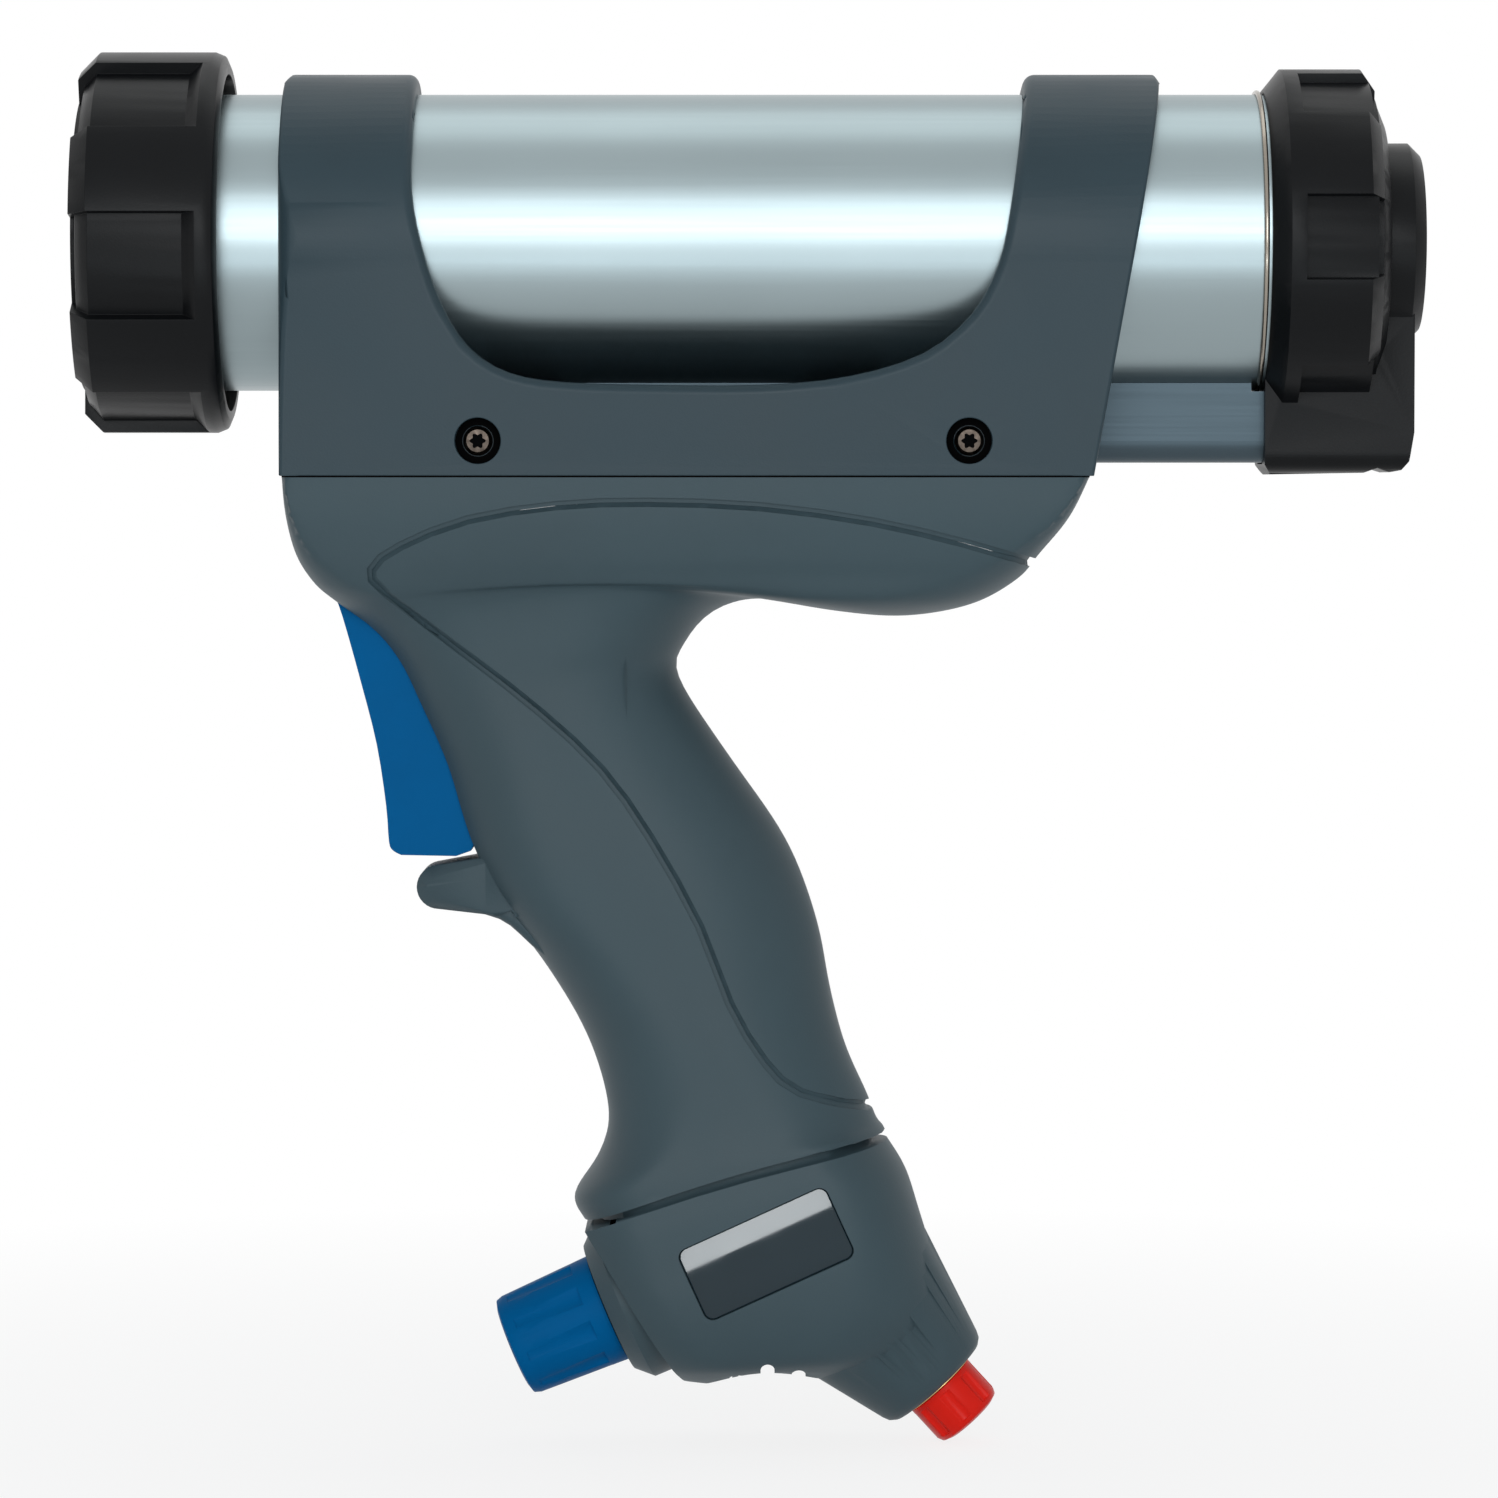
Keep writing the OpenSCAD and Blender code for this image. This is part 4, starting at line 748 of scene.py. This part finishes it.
# the four screws' places, with z out of the cradle's side and its zero where the heads rest
def screwPlaces():
    low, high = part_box("cradle_screws")
    rest = high.y - screwLook["rise"]
    for side in (-1, 1):
        turn = Matrix.Rotation(-side * math.pi / 2, 4, "X")
        for x in (low.x + screwLook["head"], high.x - screwLook["head"]):
            yield Matrix.Translation((x, side * rest, (low.z + high.z) / 2)) @ turn


def starRadius(angle):
    wave = 0.5 + 0.5 * math.cos(screwLook["starPoints"] * angle)
    return screwLook["starIn"] + (screwLook["star"] - screwLook["starIn"]) * wave


def screwPart(look, place):
    part = bmesh.new()
    bmesh.ops.create_circle(part, segments=look["sides"], radius=look["star"])
    for v in part.verts:
        v.co *= starRadius(math.atan2(v.co.y, v.co.x)) / look["star"]
        v.co.z = look["rise"]
    recess = part.edges[:]
    edges = recess
    for radius, z in look["profile"]:
        ring = bmesh.ops.extrude_edge_only(part, edges=edges)["geom"]
        for v in vertsOf(ring):
            v.co = (Vector((v.co.x, v.co.y, 0)).normalized() * radius + Vector((0, 0, z))) * mm
        edges = edgesOf(ring)
    for v in vertsOf(bmesh.ops.extrude_edge_only(part, edges=recess)["geom"]):
        v.co.z -= look["starDepth"]
    bmesh.ops.holes_fill(part, edges=[edge for edge in part.edges if edge.is_boundary], sides=look["sides"])
    bmesh.ops.transform(part, matrix=place, verts=part.verts)
    return part


def addScrews(look):
    bm = bmesh.new()
    for place in screwPlaces():
        part = screwPart(look, place)
        mesh = bpy.data.meshes.new("screwPart")
        part.to_mesh(mesh)
        part.free()
        bm.from_mesh(mesh)
        bpy.data.meshes.remove(mesh)
    bmesh.ops.recalc_face_normals(bm, faces=bm.faces)
    finishPiece(bm, "cradleScrews", "cradle_screws", look["smooth"], "screw")


addScrews(screwLook)


# each screw sits in a near-black cup, painted shade of the hole round its head, and a near-black plug in its star
# recess is painted shade too
screwShadeLook = {
    "inner": 2.85 * mm, "outer": 4.16 * mm, "wall": 0.2 * mm, "floor": 0.06 * mm, "height": 2.6 * mm, "steps": 64,
    "starShare": 1.02, "starSink": 0.1 * mm, "starLength": 0.8 * mm,
}


def addScrewShade(look):
    bm = bmesh.new()
    far = look["outer"] + look["wall"]
    outline = [(look["inner"], look["floor"]), (look["outer"], look["floor"]), (look["outer"], look["height"]),
               (far, look["height"]), (far, -look["wall"]), (look["inner"], -look["wall"])]
    for place in screwPlaces():
        verts = [bm.verts.new(place @ Vector((radius, 0, z))) for radius, z in outline]
        edges = [bm.edges.new(pair) for pair in zip(verts, verts[1:] + verts[:1])]
        bmesh.ops.spin(bm, geom=edges, cent=place.translation, axis=(0, 1, 0), angle=2 * math.pi,
                       steps=look["steps"], use_merge=True)
        star = []
        for i in range(look["steps"]):
            a = 2 * math.pi * i / look["steps"]
            radius = starRadius(a) * look["starShare"]
            point = Vector((radius * math.cos(a), radius * math.sin(a), screwLook["rise"] - look["starSink"]))
            star.append(bm.verts.new(place @ point))
        extrudeFaces(bm, [bm.faces.new(star)], place.to_3x3() @ Vector((0, 0, -look["starLength"])))
    bmesh.ops.recalc_face_normals(bm, faces=bm.faces)
    # painted shade: the cups and star plugs take the near-black finish, not the black plastic
    addPiece(bm, "screwCups", bodyOf["cradle_screws"], "black_plastic", finish="painted_shade")


addScrewShade(screwShadeLook)
print("screws made")


# Stage: pale floor that turns white with distance, white all round for the camera, soft boxes

stageLook = {
    "middle": 0.12, "floorDrop": 0.4 * mm, "floorSize": 4.0, "floorCells": 8,
    "floorColour": (0.88, 0.885, 0.89), "floorRough": 0.9,
    "whiteNear": 0.75, "whiteFrom": 0.12, "whiteTo": 0.45,  # share of white near the object, and where it grows to all
    "worldColour": (0.86, 0.9, 0.94), "worldStrength": 0.33,
}


# rays by which the white surroundings are seen: straight, mirrored or through something clear
def straightRays(tree, links):
    path = tree.new("ShaderNodeLightPath")
    total = path.outputs["Is Camera Ray"]
    for kind in ("Is Glossy Ray", "Is Transmission Ray"):
        larger = tree.new("ShaderNodeMath")
        larger.operation = "MAXIMUM"
        links.new(total, larger.inputs[0])
        links.new(path.outputs[kind], larger.inputs[1])
        total = larger.outputs["Value"]
    return total


def floorMaterial(look):
    material, tree, links, shader = startMaterial("paleFloor")
    shader.inputs["Base Color"].default_value = (*look["floorColour"], 1)
    shader.inputs["Roughness"].default_value = look["floorRough"]
    place = tree.new("ShaderNodeTexCoord")
    centre = tree.new("ShaderNodeMapping")
    centre.inputs["Location"].default_value = (-look["middle"], 0, 0)
    distance = tree.new("ShaderNodeVectorMath")
    distance.operation = "LENGTH"
    links.new(place.outputs["Object"], centre.inputs["Vector"])
    links.new(centre.outputs["Vector"], distance.inputs[0])
    far = rangeOf(tree, links, distance.outputs["Value"], look["whiteNear"], 1.0, look["whiteFrom"], look["whiteTo"])
    seen = tree.new("ShaderNodeMath")
    seen.operation = "MULTIPLY"
    links.new(straightRays(tree, links), seen.inputs[0])
    links.new(far, seen.inputs[1])
    white = tree.new("ShaderNodeEmission")
    mixed = tree.new("ShaderNodeMixShader")
    links.new(seen.outputs["Value"], mixed.inputs["Fac"])
    links.new(shader.outputs["BSDF"], mixed.inputs[1])
    links.new(white.outputs["Emission"], mixed.inputs[2])
    links.new(mixed.outputs["Shader"], tree["Material Output"].inputs["Surface"])
    return material


def addFloor(look):
    bm = bmesh.new()
    bmesh.ops.create_grid(bm, x_segments=look["floorCells"], y_segments=look["floorCells"], size=look["floorSize"])
    bmesh.ops.translate(bm, verts=bm.verts, vec=(look["middle"], 0, cadBox[0][2] - look["floorDrop"]))
    mesh = bpy.data.meshes.new("floor")
    bm.to_mesh(mesh)
    bm.free()
    mesh.materials.append(floorMaterial(look))
    floor = bpy.data.objects.new("floor", mesh)
    bpy.context.scene.collection.objects.link(floor)


def addWorld(look):
    world = bpy.data.worlds.new("studio")
    bpy.context.scene.world = world
    world.use_nodes = True
    tree, links = world.node_tree.nodes, world.node_tree.links
    light = tree["Background"]
    light.inputs["Color"].default_value = (*look["worldColour"], 1)
    light.inputs["Strength"].default_value = look["worldStrength"]
    white = tree.new("ShaderNodeBackground")
    white.inputs["Color"].default_value = (1, 1, 1, 1)
    mixed = tree.new("ShaderNodeMixShader")
    links.new(straightRays(tree, links), mixed.inputs["Fac"])
    links.new(light.outputs["Background"], mixed.inputs[1])
    links.new(white.outputs["Background"], mixed.inputs[2])
    links.new(mixed.outputs["Shader"], tree["World Output"].inputs["Surface"])


# a lamp lights everything, or only or never the piece that it names
softBoxes = {
    "frontBox": {"place": (0.10, -1.2, 0.18), "target": (0.12, 0, 0.0), "size": (0.95, 0.38),
                 "power": 5.0, "colour": (0.95, 0.98, 1.0)},
    "topBox": {"place": (0.12, 0.25, 1.1), "target": (0.12, 0, 0), "size": (1.4, 0.7),
               "power": 2.8, "colour": (0.96, 1.0, 0.99)},
    "lowBox": {"place": (0.12, -0.7, -0.20), "target": (0.12, 0, -0.14), "size": (0.9, 0.05),
               "power": 0.75, "colour": (0.86, 0.95, 1.0), "never": "badgePlate"},
    "tubeStrip": {"place": (0.12, -1.07, 0.54), "target": (0.12, 0, 0), "size": (1.0, 0.24),
                  "power": 2.4, "colour": (0.95, 0.98, 1.0), "only": "barrel_tube"},
    "badgeStrip": {"place": (0.0244, -1.2, -0.1009), "target": (0.0244, 0, -0.1009), "size": (0.075, 0.115),
                   "power": 0.42, "colour": (0.93, 0.98, 1.0), "roll": 24.6, "only": "badgePlate"},
}


def addSoftBox(name, look):
    data = bpy.data.lights.new(name, "AREA")
    data.shape = "RECTANGLE"
    data.size, data.size_y = look["size"]
    data.energy = look["power"]
    data.color = look["colour"]
    lamp = bpy.data.objects.new(name, data)
    if "only" in look or "never" in look:
        lit = bpy.data.collections.new(name + "Lit")
        lit.objects.link(bpy.data.objects[look.get("only") or look["never"]])
        lit.collection_objects[0].light_linking.link_state = "INCLUDE" if "only" in look else "EXCLUDE"
        lamp.light_linking.receiver_collection = lit
    lamp.location = look["place"]
    turn = (Vector(look["target"]) - Vector(look["place"])).to_track_quat("-Z", "Y").to_matrix()
    lamp.rotation_euler = (turn @ Matrix.Rotation(math.radians(look.get("roll", 0)), 3, "Z")).to_euler()
    bpy.context.scene.collection.objects.link(lamp)


addFloor(stageLook)
addWorld(stageLook)
for name, look in softBoxes.items():
    addSoftBox(name, look)
bpy.context.scene.view_settings.view_transform = "Standard"
print("stage and lights made")
